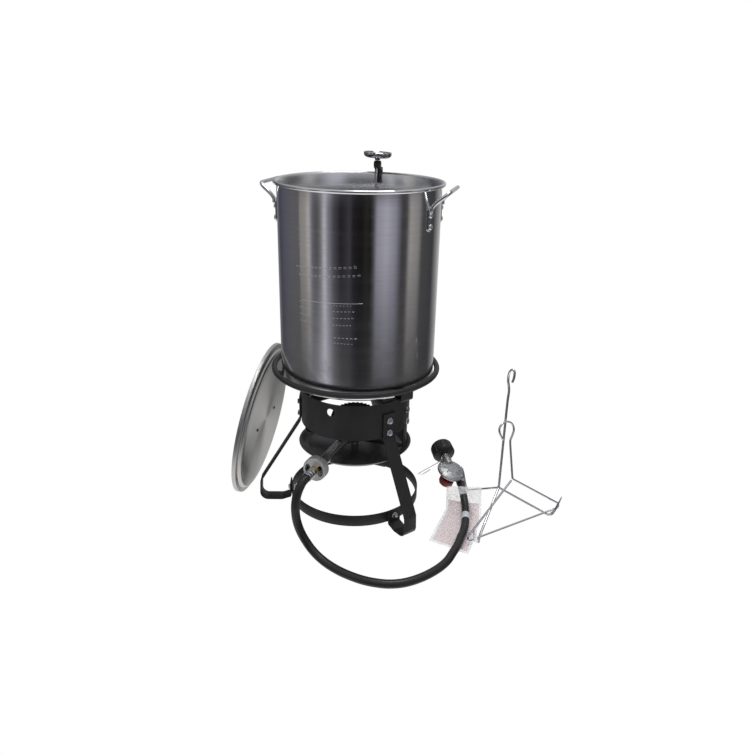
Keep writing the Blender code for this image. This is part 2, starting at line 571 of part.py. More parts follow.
# grid lines across the bag, and down it: 0 to 1 hanging, 1 to 2 along the ground
BAG_ACROSS = [0.0, 0.10, 0.20, 0.28, 0.34, 0.40, 0.46, 0.52, 0.58, 0.64, 0.70, 0.78,
              0.86, 0.93, 1.0]
BAG_DOWN = [0.0, 0.08, 0.14, 0.20, 0.26, 0.32, 0.38, 0.45, 0.53, 0.62, 0.74, 0.87, 1.0,
            1.14, 1.3, 1.46, 1.62, 1.78, 1.9, 2.0]


def bag_point(down, across):
    fold = BAG_FOLD[0].lerp(BAG_FOLD[1], across)
    if down <= 1.0:
        top = BAG_TOP[0].lerp(BAG_TOP[1], across)
        control = Vector((top.x, top.y * 0.72 + fold.y * 0.28, 3.0))
        return top * (1 - down) ** 2 + control * 2 * down * (1 - down) + fold * down * down
    run = down - 1.0
    point = fold.lerp(BAG_END[0].lerp(BAG_END[1], across), run)
    point.z = BAG_Z
    if across < 0.22 or across > 0.85:
        point.z += RIPPLE * sin(pi * run) * (0.5 + 0.5 * cos(7.0 * across + 4.0 * run))
    return point


def hose_gap(point):
    """Distance from a point to the hose's centreline."""
    best = 1e9
    for a, b in zip(hose_path, hose_path[1:]):
        span = b - a
        share = max(0.0, min(1.0, (point - a).dot(span) / span.dot(span)))
        best = min(best, (point - a - span * share).length)
    return best


def cell_meets_hose(i, j):
    down, across = BAG_DOWN[i], BAG_ACROSS[j]
    height, width = BAG_DOWN[i + 1] - down, BAG_ACROSS[j + 1] - across
    return any(hose_gap(bag_point(down + height * a, across + width * b))
               < HOSE_R + BAG_CLEARANCE for a, b in product((0.0, 0.5, 1.0), repeat=2))


bm = bmesh.new()
grid = [[bm.verts.new(bag_point(down, across) * MM) for across in BAG_ACROSS]
        for down in BAG_DOWN]
for i in range(len(BAG_DOWN) - 1):
    for j in range(len(BAG_ACROSS) - 1):
        if BAG_DOWN[i] >= 1.0 or not cell_meets_hose(i, j):
            bm.faces.new((grid[i][j], grid[i + 1][j], grid[i + 1][j + 1], grid[i][j + 1]))
for vert in [v for v in bm.verts if not v.link_faces]:
    bm.verts.remove(vert)
mesh = bpy.data.meshes.new("instruction_bag")
bm.to_mesh(mesh)
bm.free()
bag = add_object("instruction_bag", mesh, BAG)
thickness = bag.modifiers.new("thickness", 'SOLIDIFY')
thickness.thickness = 0.0009
thickness.offset = 0.0

# ---------------------------------------------------------------- lid
LID_CENTRE = Vector((-203.5, 55.0, 164.5))       # centre of the flange circle
LID_NORMAL = Vector((0.96666, -0.17839, -0.18372))   # out of the raised middle, to the stand
LID_R, LID_STEP = 167.0, 8.0
LID_RIVET_X = 60.0               # rivets either side of the centre
LID_FOOT_Z = LID_STEP - 2.8      # centreline of the handle's feet
LID_GRIP = 31.0                  # feet to grip

lid_level = Vector((-LID_NORMAL.y, LID_NORMAL.x, 0)).normalized()   # level line in its plane
lid_frame = frame(LID_CENTRE, LID_NORMAL, lid_level)
lid_rivet_frames = [frame(LID_CENTRE + lid_level * side * LID_RIVET_X, LID_NORMAL, lid_level)
                    for side in SIDES]

LID_PROFILE = [
    (0, LID_STEP), (140, LID_STEP - 0.2), (152.0, LID_STEP - 0.8), (154.5, LID_STEP - 2.7),
    (155.5, 0.8), (165.5, 0.4), (LID_R, -0.6), (LID_R + 0.2, -7.6),
    (165.9, -7.6), (165.7, -0.9), (154.2, -0.7), (153.0, LID_STEP - 3.2),
    (150.5, LID_STEP - 2.0), (140, LID_STEP - 1.5), (0, LID_STEP - 1.4),
]
lid = turned("lid", LID_PROFILE, 44, ALU_LID, lid_frame)
lid_holes = cylinders("lid_holes", [(m, 2.6, -4.0, 18.0) for m in lid_rivet_frames], sides=8)
boolean(lid, 'DIFFERENCE', lid_holes)

# strap handle on the face away from the stand: one half as (x, z), then its mirror
half = [(LID_RIVET_X + 9, LID_FOOT_Z), (LID_RIVET_X - 8, LID_FOOT_Z),
        (LID_RIVET_X - 17, LID_FOOT_Z - LID_GRIP)]
path = fillet([(x, 0, z) for x, z in half] + [(-x, 0, z) for x, z in reversed(half)],
              [5, 9, 9, 5], 3)
handle = solid("lid_handle", [strap_rings(path, 14.0, 2.0)], PLATED, lid_frame)
boolean(handle, 'DIFFERENCE', lid_holes)

LID_RIVET = [(0, LID_STEP + 1.9), (2.2, LID_STEP + 1.7), (3.8, LID_STEP + 1.1),
             (3.8, LID_STEP + 0.35), (2.3, LID_STEP + 0.35), (2.3, LID_FOOT_Z - 1.4),
             (4.6, LID_FOOT_Z - 1.4), (3.6, LID_FOOT_Z - 2.8), (0, LID_FOOT_Z - 3.3)]
for number, matrix in enumerate(lid_rivet_frames, 1):
    turned("lid_rivet_%d" % number, LID_RIVET, 8, RIVET, matrix)

# ---------------------------------------------------------------- poultry rack
RACK_CENTRE = Vector((301.4, -78.3, 69.9))
RACK_AZ = (0.56, -119.4, 115.0)
RACK_WIRE = 2.4
# bent loop at the top of the rod: (x, y, z)
RACK_LOOP = [
    (303.4, -78.6, 288.0), (302.2, -78.8, 299.0), (300.0, -79.2, 309.0),
    (299.3, -79.8, 318.0), (299.6, -81.5, 326.4), (301.3, -85.6, 334.6),
    (304.6, -90.0, 338.6), (307.4, -93.4, 335.0), (307.3, -94.5, 327.0),
    (306.3, -94.6, 320.0), (304.6, -94.5, 314.0),
]
rod = [RACK_CENTRE + Vector((-0.03, 0.0, -4.0)), RACK_CENTRE + Vector((0.2, -0.05, 40)),
       Vector((302.2, -78.5, 240)), Vector((302.6, -78.5, 272.0))] + spline(RACK_LOOP, 2)
rack = meshed_wire("poultry_rack", rod, RACK_WIRE, PLATED)

# leg sections after the first: (distance out, height, half width, half thickness)
RACK_LEG = [
    (4, 67.4, 2.4, 2.4), (60, 33.8, 2.4, 2.4), (98, 11.2, 2.4, 2.4), (106, 6.0, 3.2, 1.9),
    (111, 3.4, 4.2, 1.6), (116, 3.6, 4.7, 1.4), (121, 7.6, 4.8, 1.3), (126, 17.0, 4.6, 1.2),
    (130, 29.0, 3.9, 1.1), (133.5, 39.0, 2.6, 1.0), (136, 47.5, 0.9, 0.8),
]
LEG_SIDES = 8
CORNER_SCALE = 1.08              # the section's corners lie outside its nominal oval
for i, az in enumerate(RACK_AZ):
    matrix = upright(az, RACK_CENTRE[:2])
    # the legs start at slightly different heights
    sections = [(-2.5, 70.6 + 0.3 * i, 2.2, 2.2)] + RACK_LEG
    rows = []
    for j, (r, z, half_width, half_thick) in enumerate(sections):
        before = sections[max(0, j - 1)]
        after = sections[min(len(sections) - 1, j + 1)]
        along = Vector((after[0] - before[0], after[1] - before[1])).normalized()
        row = []
        for k in range(LEG_SIDES):
            a = 2 * pi * (k + 0.5) / LEG_SIDES
            across = half_width * cos(a) * CORNER_SCALE
            lift = half_thick * sin(a) * CORNER_SCALE
            row.append(matrix @ metres(r - along.y * lift, across, z + along.x * lift))
        rows.append(row)
    boolean(rack, 'UNION', solid("rack_leg_%d" % (i + 1), [rows], helper=True))

# ---------------------------------------------------------------- lifting hook
# triangular grip with an open eye on top, leaning over from the vertical
HOOK_BASE = Vector((332.1, -124.2, 11.7))        # middle of the triangle's bottom side
HOOK_AZ, HOOK_TILT = radians(30.573), radians(12.546)
HOOK_HALF, HOOK_H = 136.46, 97.1
HOOK_WIRE = 2.1
# open eye: (along the bottom side, up the hook's plane)
HOOK_EYE = [
    (-16.4, 184.9), (-19.4, 186.8), (-23.3, 194.4), (-25.8, 202.2), (-25.5, 209.4),
    (-20.8, 215.2), (-13.7, 218.8), (-4.4, 219.0), (4.5, 214.8), (10.1, 208.1),
    (11.8, 198.5), (8.9, 191.8), (4.6, 184.8), (0.2, 180.0),
]
along = Vector((cos(HOOK_AZ), sin(HOOK_AZ), 0))
level = Vector((-sin(HOOK_AZ), cos(HOOK_AZ), 0))
rise = level * sin(HOOK_TILT) + UP * cos(HOOK_TILT)
grip = fillet([(0.0, 176.0, 0), (0.0, HOOK_H, 0), (HOOK_HALF, 0, 0), (-HOOK_HALF, 0, 0),
               (-3.2, HOOK_H - 2.3, 0)], [7.0, 6.0, 6.0], 4)
outline = HOOK_EYE + [(p.x, p.y) for p in grip]
wire("lifting_hook", [HOOK_BASE + along * x + rise * y for x, y in outline], HOOK_WIRE, PLATED)
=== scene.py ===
# A pot with its thermometer on a three-legged gas burner stand. Its lid leans on the left,
# the hose runs along the ground in front to a regulator on the right, with a plastic bag
# that holds a leaflet, and a rack and a lifting hook stand at the far right.
# Pieces are drawn in mm about the stand's axis: +X right, -Y towards the camera, +Z up,
# ground at z = 0. Azimuths are in degrees from +X, anticlockwise seen from above.
from contextlib import contextmanager
from math import acos, atan2, copysign, cos, degrees, pi, radians, sin, tan

import bmesh
import bpy
from mathutils import Matrix, Vector, noise


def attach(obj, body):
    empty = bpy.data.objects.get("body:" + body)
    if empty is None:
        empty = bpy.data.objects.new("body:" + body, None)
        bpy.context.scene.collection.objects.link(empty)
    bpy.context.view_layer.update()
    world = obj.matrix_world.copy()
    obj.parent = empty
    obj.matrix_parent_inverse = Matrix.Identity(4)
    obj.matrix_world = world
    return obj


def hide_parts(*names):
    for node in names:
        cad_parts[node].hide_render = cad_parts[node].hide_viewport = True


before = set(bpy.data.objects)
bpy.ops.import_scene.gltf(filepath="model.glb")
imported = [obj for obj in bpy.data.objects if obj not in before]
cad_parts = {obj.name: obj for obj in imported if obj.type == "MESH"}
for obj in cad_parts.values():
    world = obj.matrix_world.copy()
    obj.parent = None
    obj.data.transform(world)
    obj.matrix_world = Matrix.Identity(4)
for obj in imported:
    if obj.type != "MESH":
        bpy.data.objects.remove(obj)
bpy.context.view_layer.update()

# ---------------------------------------------------------------- shared dimensions
MM = 0.001
STAND_AXIS = Vector((-93.11, 51.80, 0.0))     # where the stand's axis lies in the whole frame
UP = Vector((0, 0, 1))

POT_RADIUS = 155.0
POT_WALL = 1.5
POT_BASE = 292.33
POT_RIM = 676.8
POT_CENTRE = (3.5, 2.9)
RIM_BEAD = 3.4
HANDLES = (("pot_handle_right", -16.5), ("pot_handle_left", 163.5))   # name, azimuth
HANDLE_SPREAD = 19.5                          # degrees from a handle's middle to each foot
RIVET_HEIGHTS = (610.0, 631.0)

DIAL_CENTRE = (40.2, 143.0, 713.5)
STEM_AXIS = Vector((0.041, 0, 1)).normalized()

LID_CENTRE = (-203.5, 55.0, 164.5)
LID_NORMAL = Vector((0.96666, -0.17839, -0.18372)).normalized()
LID_ACROSS = Vector((-LID_NORMAL.y, LID_NORMAL.x, 0)).normalized()
LID_STEP = 8.0                                # lid centre above its flange
LID_RIVET = 60.0                              # handle rivets from the lid's centre

LEG_AZIMUTHS = (-54.0, 66.0, 180.0)
LEG_REACHES = (191.5, 200.0, 204.8)
BOLT_HEIGHTS = (203.0, 229.0)
STRAP_AZIMUTH = -20.0
LIGHT_HOLE_AZIMUTH = -115.4
LIGHT_HOLE_Z = 249.5
LIGHT_HOLE_RADIUS = 8.0

TUBE_AZIMUTH = radians(-113.0)
TUBE_AXIS = Vector((cos(TUBE_AZIMUTH), sin(TUBE_AZIMUTH), 0))
TUBE_Z = 166.0

OUTLET_X = 235.0
OUTLET_Z = 31.5
REGULATOR_CENTRE = (213.7, 16.4, 56.0)
REGULATOR_AXIS = Vector((-0.25, 0.25, -0.935)).normalized()
INLET_START = Vector((211.1, 28.3, 61.9))
NUT_CENTRE = Vector((200.2, 72.3, 76.0))


# ---------------------------------------------------------------- shader graph helpers
MATERIALS = {}


class Graph:
    """Adds nodes to a tree. Most methods return an output socket."""

    def __init__(self, tree):
        self.tree = tree

    def feed(self, socket, value):
        if isinstance(value, bpy.types.NodeSocket):
            self.tree.links.new(value, socket)
        elif socket.type == 'RGBA':
            socket.default_value = (*value, 1.0)
        else:
            socket.default_value = value

    def node(self, kind, inputs=None, **settings):
        node = self.tree.nodes.new("ShaderNode" + kind)
        for key, value in settings.items():
            setattr(node, key, value)
        for key, value in (inputs or {}).items():
            self.feed(node.inputs[key], value)
        return node

    def coords(self, scale=(1, 1, 1)):
        source = self.node("TexCoord").outputs["Object"]
        return self.node("Mapping", {"Vector": source, "Scale": scale}).outputs["Vector"]

    def noise(self, vector, scale, detail=3.0, roughness=0.5, distortion=0.0):
        return self.node("TexNoise", {
            "Vector": vector, "Scale": scale, "Detail": detail,
            "Roughness": roughness, "Distortion": distortion}).outputs["Fac"]

    def remap(self, value, to_min, to_max, span=(0.3, 0.7)):
        """Map span, by default the usual range of a noise, onto to_min..to_max."""
        return self.node("MapRange", {
            "Value": value, "From Min": span[0], "From Max": span[1],
            "To Min": to_min, "To Max": to_max}).outputs["Result"]

    def ramp(self, value, stops, interpolation="LINEAR"):
        node = self.node("ValToRGB", {"Fac": value})
        node.color_ramp.interpolation = interpolation
        elements = node.color_ramp.elements
        while len(elements) > 1:
            elements.remove(elements[-1])
        elements[0].position = stops[0][0]
        elements[0].color = (*stops[0][1], 1.0)
        for position, colour in stops[1:]:
            elements.new(position).color = (*colour, 1.0)
        return node.outputs["Color"]

    def mix(self, factor, first, second):
        return self.node("Mix", {0: factor, 6: first, 7: second}, data_type='RGBA').outputs[2]

    def mix_shader(self, factor, first, second):
        return self.node("MixShader", {0: factor, 1: first, 2: second}).outputs[0]

    def math(self, operation, *values):
        return self.node("Math", dict(enumerate(values)), operation=operation).outputs[0]

    def within(self, value, low, high):
        """1 where value lies between low and high, otherwise 0."""
        return self.math('MULTIPLY', self.math('GREATER_THAN', value, low),
                         self.math('LESS_THAN', value, high))

    def vector(self, operation, *values, output="Vector"):
        node = self.node("VectorMath", dict(enumerate(values)), operation=operation)
        return node.outputs[output]

    def separate(self, vector):
        return self.node("SeparateXYZ", {0: vector}).outputs

    def combine(self, x, y):
        return self.node("CombineXYZ", {0: x, 1: y}).outputs[0]


class Material(Graph):
    """A named material built around its Principled shader."""

    def __init__(self, name):
        material = bpy.data.materials.new(name)
        material.use_nodes = True
        super().__init__(material.node_tree)
        self.shader = self.tree.nodes["Principled BSDF"]
        MATERIALS[name] = material

    def set(self, name, value):
        self.feed(self.shader.inputs[name], value)

    def bump(self, height, distance):
        node = self.node("Bump", {"Height": height, "Distance": distance, "Strength": 1.0})
        self.set("Normal", node.outputs["Normal"])

    def surface(self, shader):
        self.feed(self.tree.nodes["Material Output"].inputs["Surface"], shader)


def shade(colour, factor):
    return tuple(min(1.0, channel * factor) for channel in colour)


# ---------------------------------------------------------------- materials
# name, colour, roughness, metallic, grain scale, bump depth in m, colour variation, specular
PAINTS = (
    ("satin_black", (0.0115, 0.0115, 0.0122), 0.40, 0.0, 700.0, 0.00003, 0.25, 0.42),
    ("pan_charcoal", (0.030, 0.030, 0.033), 0.33, 0.15, 600.0, 0.00003, 0.3, 0.6),
    ("cast", (0.040, 0.038, 0.036), 0.75, 0.3, 420.0, 0.0004, 0.45, 0.5),
    ("hose", (0.0085, 0.0085, 0.009), 0.36, 0.0, 500.0, 0.00005, 0.3, 0.5),
    ("sleeve", (0.50, 0.52, 0.55), 0.38, 0.35, 300.0, 0.0002, 0.35, 0.5),
    ("nut", (0.0065, 0.0065, 0.007), 0.38, 0.0, 600.0, 0.00005, 0.3, 0.5),
    ("knob", (0.12, 0.007, 0.006), 0.42, 0.0, 500.0, 0.00005, 0.3, 0.5),
    ("clip", (0.010, 0.010, 0.0105), 0.36, 0.0, 500.0, 0.00004, 0.3, 0.5),
    ("rivet_dark", (0.03, 0.03, 0.03), 0.5, 0.5, 900.0, 0.00004, 0.25, 0.5),
    ("needle", (0.55, 0.02, 0.02), 0.4, 0.0, 900.0, 0.00004, 0.25, 0.5),
)

# name, colour, roughness, bump depth in m, colour variation, extra roughness of smudges,
# then where not the default: coordinate scale and noise scale of the grain
METALS = (
    ("pot_mark", (0.82, 0.82, 0.83), 0.16, 0.00002, 0.08, 0.0),
    ("rivet", (0.86, 0.86, 0.87), 0.22, 0.00002, 0.08, 0.0),
    ("plated", (0.78, 0.78, 0.80), 0.14, 0.00001, 0.06, 0.06),
    ("zinc", (0.72, 0.75, 0.80), 0.24, 0.00002, 0.12, 0.0),
    ("tube", (0.70, 0.69, 0.68), 0.24, 0.00001, 0.10, 0.0, 500, 1.0),
    ("shutter", (0.74, 0.74, 0.73), 0.42, 0.00005, 0.12, 0.08),
    ("brass", (0.80, 0.58, 0.25), 0.26, 0.00002, 0.10, 0.0),
    ("diecast", (0.46, 0.46, 0.465), 0.30, 0.00025, 0.25, 0.10),
    # the next row is the die-cast metal darkened: painted shade for the regulator's shaded
    # side
    ("diecast_dark", (0.17, 0.17, 0.175), 0.34, 0.00025, 0.3, 0.10),
    ("dial_case", (0.20, 0.20, 0.21), 0.16, 0.00001, 0.12, 0.0),
    ("dial_bezel", (0.62, 0.62, 0.64), 0.10, 0.00001, 0.08, 0.0),
)


def paint(name, colour, roughness, metallic, grain, depth, variation, specular):
    mat = Material(name)
    place = mat.coords()
    clouds = mat.noise(place, scale=14.0, detail=4.0, roughness=0.6)
    fine = mat.noise(place, scale=grain, detail=2.0, roughness=0.6)
    mat.set("Base Color", mat.mix(mat.remap(clouds, 0.0, 1.0),
                                  shade(colour, 1 - variation), shade(colour, 1 + variation)))
    mat.set("Roughness", mat.remap(clouds, max(0.02, roughness - 0.07),
                                   min(1.0, roughness + 0.08), span=(0.25, 0.75)))
    mat.set("Metallic", metallic)
    mat.set("Specular IOR Level", specular)
    mat.bump(fine, depth)


def metal(name, colour, roughness, depth, variation, smudge, stretch=1, grain=260.0):
    mat = Material(name)
    fine = mat.noise(mat.coords((stretch,) * 3), scale=grain, detail=3.0, roughness=0.65)
    clouds = mat.noise(mat.coords(), scale=22.0, detail=4.0, roughness=0.6)
    mat.set("Base Color", mat.mix(mat.remap(fine, 0.0, 1.0),
                                  shade(colour, 1 - variation), shade(colour, 1 + variation)))
    mat.set("Roughness", mat.math(
        'ADD', mat.remap(fine, max(0.02, roughness - 0.04), roughness + 0.05),
        mat.remap(clouds, -0.02, 0.05 + smudge, span=(0.3, 0.75))))
    mat.set("Metallic", 1.0)
    mat.bump(fine, depth)


def pot_metal(name, roughness, depth, colour, painted_shade_depth):
    """Turned sheet: fine rings square to the axis; low down, cloudy painted shade darkens the
    colour and cloudy patches raise the roughness.
    """
    mat = Material(name)
    rings = mat.noise(mat.coords((6, 6, 900)), scale=1.0, detail=3.0, roughness=0.7)
    bands = mat.noise(mat.coords((1.5, 1.5, 60)), scale=1.0, detail=3.0, roughness=0.6)
    place = mat.coords()
    clouds = mat.noise(place, scale=16.0, detail=5.0, roughness=0.62, distortion=0.8)
    low = mat.remap(mat.separate(place)["Z"], 1.0, 0.0, span=(0.30, 0.50))
    clean = mat.mix(mat.remap(rings, 0.0, 1.0), shade(colour, 0.93), shade(colour, 1.05))
    # painted shade: clouds of darker colour towards the bottom of the pot
    painted_shade = mat.math('MULTIPLY', low, mat.remap(clouds, 0.0, painted_shade_depth, span=(0.45, 0.7)))
    mat.set("Base Color", mat.mix(painted_shade, clean, shade(colour, 0.62)))
    dull = mat.math('MULTIPLY', low, mat.remap(clouds, 0.02, 0.16, span=(0.4, 0.7)))
    mat.set("Roughness", mat.math(
        'ADD', mat.remap(bands, roughness - 0.03, roughness + 0.05), dull))
    mat.set("Metallic", 1.0)
    mat.bump(mat.math('ADD', mat.math('MULTIPLY', rings, 0.5),
                      mat.math('MULTIPLY', bands, 0.5)), depth)


def lid_metal():
    """Spun disc: rings about the lid's own axis and a sheen that fans out from the middle."""
    mat = Material("lid_satin")
    place = mat.coords()
    normal = tuple(LID_NORMAL)
    offset = mat.vector('SUBTRACT', place, tuple(Vector(LID_CENTRE) * MM))
    around = mat.vector('CROSS_PRODUCT', normal, offset)
    radius = mat.vector('LENGTH', around, output="Value")
    height = mat.vector('DOT_PRODUCT', offset, normal, output="Value")
    rings = mat.noise(mat.combine(mat.math('MULTIPLY', radius, 1400.0),
                                  mat.math('MULTIPLY', height, 300.0)),
                      scale=1.0, detail=3.0, roughness=0.7)
    clouds = mat.noise(place, scale=20.0, detail=4.0, roughness=0.6)
    mat.set("Base Color", mat.mix(mat.remap(rings, 0.0, 1.0),
                                  (0.52, 0.515, 0.50), (0.66, 0.65, 0.63)))
    mat.set("Roughness", mat.math('ADD', mat.remap(rings, 0.28, 0.37),
                                  mat.remap(clouds, -0.02, 0.05)))
    mat.set("Metallic", 1.0)
    mat.set("Anisotropic", 0.75)
    mat.set("Tangent", mat.vector('NORMALIZE', around))
    mat.bump(rings, 0.00002)


def dial_face():
    """Dark face with a ring of coloured sectors and a ring of ticks inside it."""
    red, dark, green = (0.62, 0.02, 0.015), (0.02, 0.02, 0.022), (0.55, 0.56, 0.30)
    sectors = ((0.0, red), (0.12, red), (0.125, dark), (0.55, dark), (0.552, green),
               (0.70, green), (0.705, dark), (0.915, dark), (0.92, red))   # share of a turn
    sector_ring = (0.0165, 0.0245)
    tick_ring = (0.0125, 0.0160)
    ticks_per_turn = 50.0
    mat = Material("dial_face")
    place = mat.vector('SUBTRACT', mat.coords(), tuple(c * MM for c in DIAL_CENTRE))
    axes = mat.separate(place)
    x, y = axes["X"], axes["Y"]
    radius = mat.math('SQRT', mat.math('ADD', mat.math('MULTIPLY', x, x),
                                       mat.math('MULTIPLY', y, y)))
    angle = mat.math('ARCTAN2', y, x)
    turn = mat.remap(angle, 0.0, 1.0, span=(-pi, pi))
    sector = mat.ramp(turn, sectors, "CONSTANT")
    wave = mat.math('SINE', mat.math('MULTIPLY', angle, ticks_per_turn))
    tick = mat.math('GREATER_THAN', wave, 0.82)
    colour = mat.mix(mat.within(radius, *sector_ring), (0.018, 0.018, 0.020), sector)
    colour = mat.mix(mat.math('MULTIPLY', mat.within(radius, *tick_ring), tick),
                     colour, (0.75, 0.75, 0.75))
    grain = mat.noise(place, scale=300.0)
    mat.set("Base Color", mat.mix(mat.remap(grain, 0.0, 0.12), colour, (0.0, 0.0, 0.0)))
    mat.set("Roughness", mat.remap(grain, 0.35, 0.45))


def dial_glass():
    mat = Material("dial_glass")
    mat.set("Roughness", mat.remap(mat.noise(mat.coords(), scale=60.0), 0.03, 0.07))
    mat.set("Base Color", (0.95, 0.97, 0.97))
    mat.set("Transmission Weight", 1.0)
    mat.set("IOR", 1.12)


def bag_film():
    """Thin film: mostly clear, milky where the creases gather."""
    mat = Material("bag_film")
    creases = mat.noise(mat.coords((1.0, 0.55, 1.0)), scale=55.0, detail=4.0,
                        roughness=0.6, distortion=1.6)
    milky = mat.remap(creases, 0.22, 0.62, span=(0.35, 0.72))
    clear = mat.node("BsdfTransparent").outputs[0]
    mat.surface(mat.mix_shader(milky, clear, mat.shader.outputs[0]))
    mat.set("Base Color", mat.mix(creases, (0.55, 0.55, 0.56), (0.78, 0.78, 0.79)))
    mat.set("Roughness", 0.18)
    mat.bump(creases, 0.0025)


def leaflet():
    """Pale pink sheet with plain rows of coloured dashes and one heading bar."""
    rows_per_sheet = 26.0
    mat = Material("leaflet")
    axes = mat.separate(mat.node("UVMap", uv_map="UVMap").outputs[0])
    x, y = axes["X"], axes["Y"]
    wave = mat.math('SINE', mat.math('MULTIPLY', y, 2 * pi * rows_per_sheet))
    rows = mat.math('GREATER_THAN', wave, 0.25)
    row_number = mat.math('FLOOR', mat.math('MULTIPLY', y, rows_per_sheet))
    # a different stretch of noise for each row breaks it into dashes
    cell = mat.combine(mat.math('MULTIPLY', x, 30.0), mat.math('MULTIPLY', row_number, 3.7))
    dashes = mat.math('GREATER_THAN',
                      mat.noise(cell, scale=1.0, detail=2.0, roughness=0.6), 0.47)
    ink = mat.math('MULTIPLY', mat.math('MULTIPLY', rows, dashes), mat.within(x, 0.08, 0.92))
    heading = mat.math('MULTIPLY', mat.within(y, 0.035, 0.065), mat.within(x, 0.28, 0.58))
    clouds = mat.noise(mat.coords(), scale=40.0, detail=4.0, roughness=0.6)
    colour = mat.mix(clouds, (0.62, 0.50, 0.51), (0.78, 0.68, 0.69))
    colour = mat.mix(mat.math('MULTIPLY', ink, 0.42), colour, (0.58, 0.20, 0.22))
    colour = mat.mix(mat.math('MULTIPLY', heading, 0.8), colour, (0.60, 0.05, 0.06))
    mat.set("Base Color", colour)
    mat.set("Roughness", mat.remap(clouds, 0.5, 0.65))
    mat.bump(clouds, 0.001)


def build_materials():
    # the last argument sets how dark the painted shade low on each wall is
    pot_metal("pot_outside", roughness=0.085, depth=0.0000030,
              colour=(0.80, 0.79, 0.80), painted_shade_depth=0.9)
    pot_metal("pot_inside", roughness=0.24, depth=0.0000060,
              colour=(0.88, 0.88, 0.89), painted_shade_depth=0.2)
    for row in METALS:
        metal(*row)
    for row in PAINTS:
        paint(*row)
    dial_face()
    dial_glass()
    bag_film()
    leaflet()
    lid_metal()


# ---------------------------------------------------------------- frames
def axes_matrix(x_axis, y_axis, z_axis, origin=(0, 0, 0)):
    matrix = Matrix((x_axis, y_axis, z_axis)).transposed().to_4x4()
    matrix.translation = Vector(origin)
    return matrix


def frame_at(origin, z_axis, x_hint=(1, 0, 0)):
    z = Vector(z_axis).normalized()
    x = Vector(x_hint)
    x = (x - z * x.dot(z)).normalized()
    return axes_matrix(x, z.cross(x), z, origin)


def outward(azimuth, z=0.0, centre=(0.0, 0.0)):
    """Local x is up and local z points outwards along the azimuth."""
    a = radians(azimuth)
    return frame_at((*centre, z), (cos(a), sin(a), 0), UP)


def turned(azimuth, centre=(0.0, 0.0)):
    """Local z is up and local x points along the azimuth."""
    a = radians(azimuth)
    return frame_at((*centre, 0), UP, (cos(a), sin(a), 0))


def spoke(angle):
    """Unit vectors outwards and around at an angle in radians."""
    return Vector((cos(angle), sin(angle), 0)), Vector((-sin(angle), cos(angle), 0))


POT_FRAME = frame_at((*POT_CENTRE, 0), UP)
DIAL_FRAME = frame_at(DIAL_CENTRE, STEM_AXIS)
LID_FRAME = frame_at(LID_CENTRE, LID_NORMAL, LID_ACROSS)
TUBE_FRAME = frame_at((0, 0, TUBE_Z), TUBE_AXIS, UP)
OUTLET_FRAME = frame_at((OUTLET_X, 70.0, OUTLET_Z), (0, -1, 0), UP)
REGULATOR_FRAME = frame_at(REGULATOR_CENTRE, REGULATOR_AXIS)
INLET_FRAME = frame_at(INLET_START, (NUT_CENTRE - INLET_START).normalized())


# ---------------------------------------------------------------- mesh helpers, in mm
def add(name, mesh, materials, body, replaces=None, matrix=None, sharp=35.0, weld=True):
    """Finish a mesh drawn in the frame of matrix; edges under sharp degrees are smooth."""
    if weld:
        bmesh.ops.remove_doubles(mesh, verts=mesh.verts[:], dist=0.002)
    bmesh.ops.recalc_face_normals(mesh, faces=mesh.faces[:])
    for edge in mesh.edges:
        edge.smooth = len(edge.link_faces) != 2 or edge.calc_face_angle(0.0) < radians(sharp)
    for face in mesh.faces:
        face.smooth = True
    if matrix is not None:
        bmesh.ops.transform(mesh, matrix=matrix, verts=mesh.verts[:])
    data = to_metres(name, mesh)
    for material in (materials if isinstance(materials, list) else [materials]):
        data.materials.append(MATERIALS[material])
    ob = link_object(name, data)
    ob.matrix_world = Matrix.Translation(STAND_AXIS * MM)
    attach(ob, body)
    if replaces:
        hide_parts(replaces)
    return ob


def to_metres(name, mesh):
    bmesh.ops.scale(mesh, vec=(MM, MM, MM), verts=mesh.verts[:])
    data = bpy.data.meshes.new(name)
    mesh.to_mesh(data)
    mesh.free()
    return data


def link_object(name, data):
    ob = bpy.data.objects.new(name, data)
    bpy.context.scene.collection.objects.link(ob)
    return ob


@contextmanager
def placed(mesh, matrix):
    """Move everything drawn inside the with block by matrix."""
    count = len(mesh.verts)
    yield
    for vert in mesh.verts[:][count:]:
        vert.co = matrix @ vert.co


def bridge(mesh, rows, caps=True):
    """Join rings of vertices with quads and close both ends."""
    for row, above in zip(rows[:-1], rows[1:]):
        for k in range(len(row)):
            j = (k + 1) % len(row)
            mesh.faces.new((row[k], row[j], above[j], above[k]))
    if caps:
        mesh.faces.new(rows[0][::-1])
        mesh.faces.new(rows[-1])


def revolve(mesh, profile, steps, closed=False, swell=None, slots=None):
    """Spin (radius, z) points about z. swell(i, angle) adds to the radius of point i."""
    rows = []
    for i, (radius, z) in enumerate(profile):
        if radius < 1e-6:
            rows.append([mesh.verts.new((0, 0, z))])
            continue
        row = []
        for k in range(steps):
            angle = 2 * pi * k / steps
            r = radius + (swell(i, angle) if swell else 0.0)
            row.append(mesh.verts.new((r * cos(angle), r * sin(angle), z)))
        rows.append(row)
    for i in range(len(rows) if closed else len(rows) - 1):
        row, after = rows[i], rows[(i + 1) % len(rows)]
        if len(row) == 1 and len(after) == 1:
            continue
        for k in range(steps):
            j = (k + 1) % steps
            if len(row) == 1:
                corners = (row[0], after[k], after[j])
            elif len(after) == 1:
                corners = (row[k], after[0], row[j])
            else:
                corners = (row[k], after[k], after[j], row[j])
            face = mesh.faces.new(corners)
            if slots:
                face.material_index = slots[i]


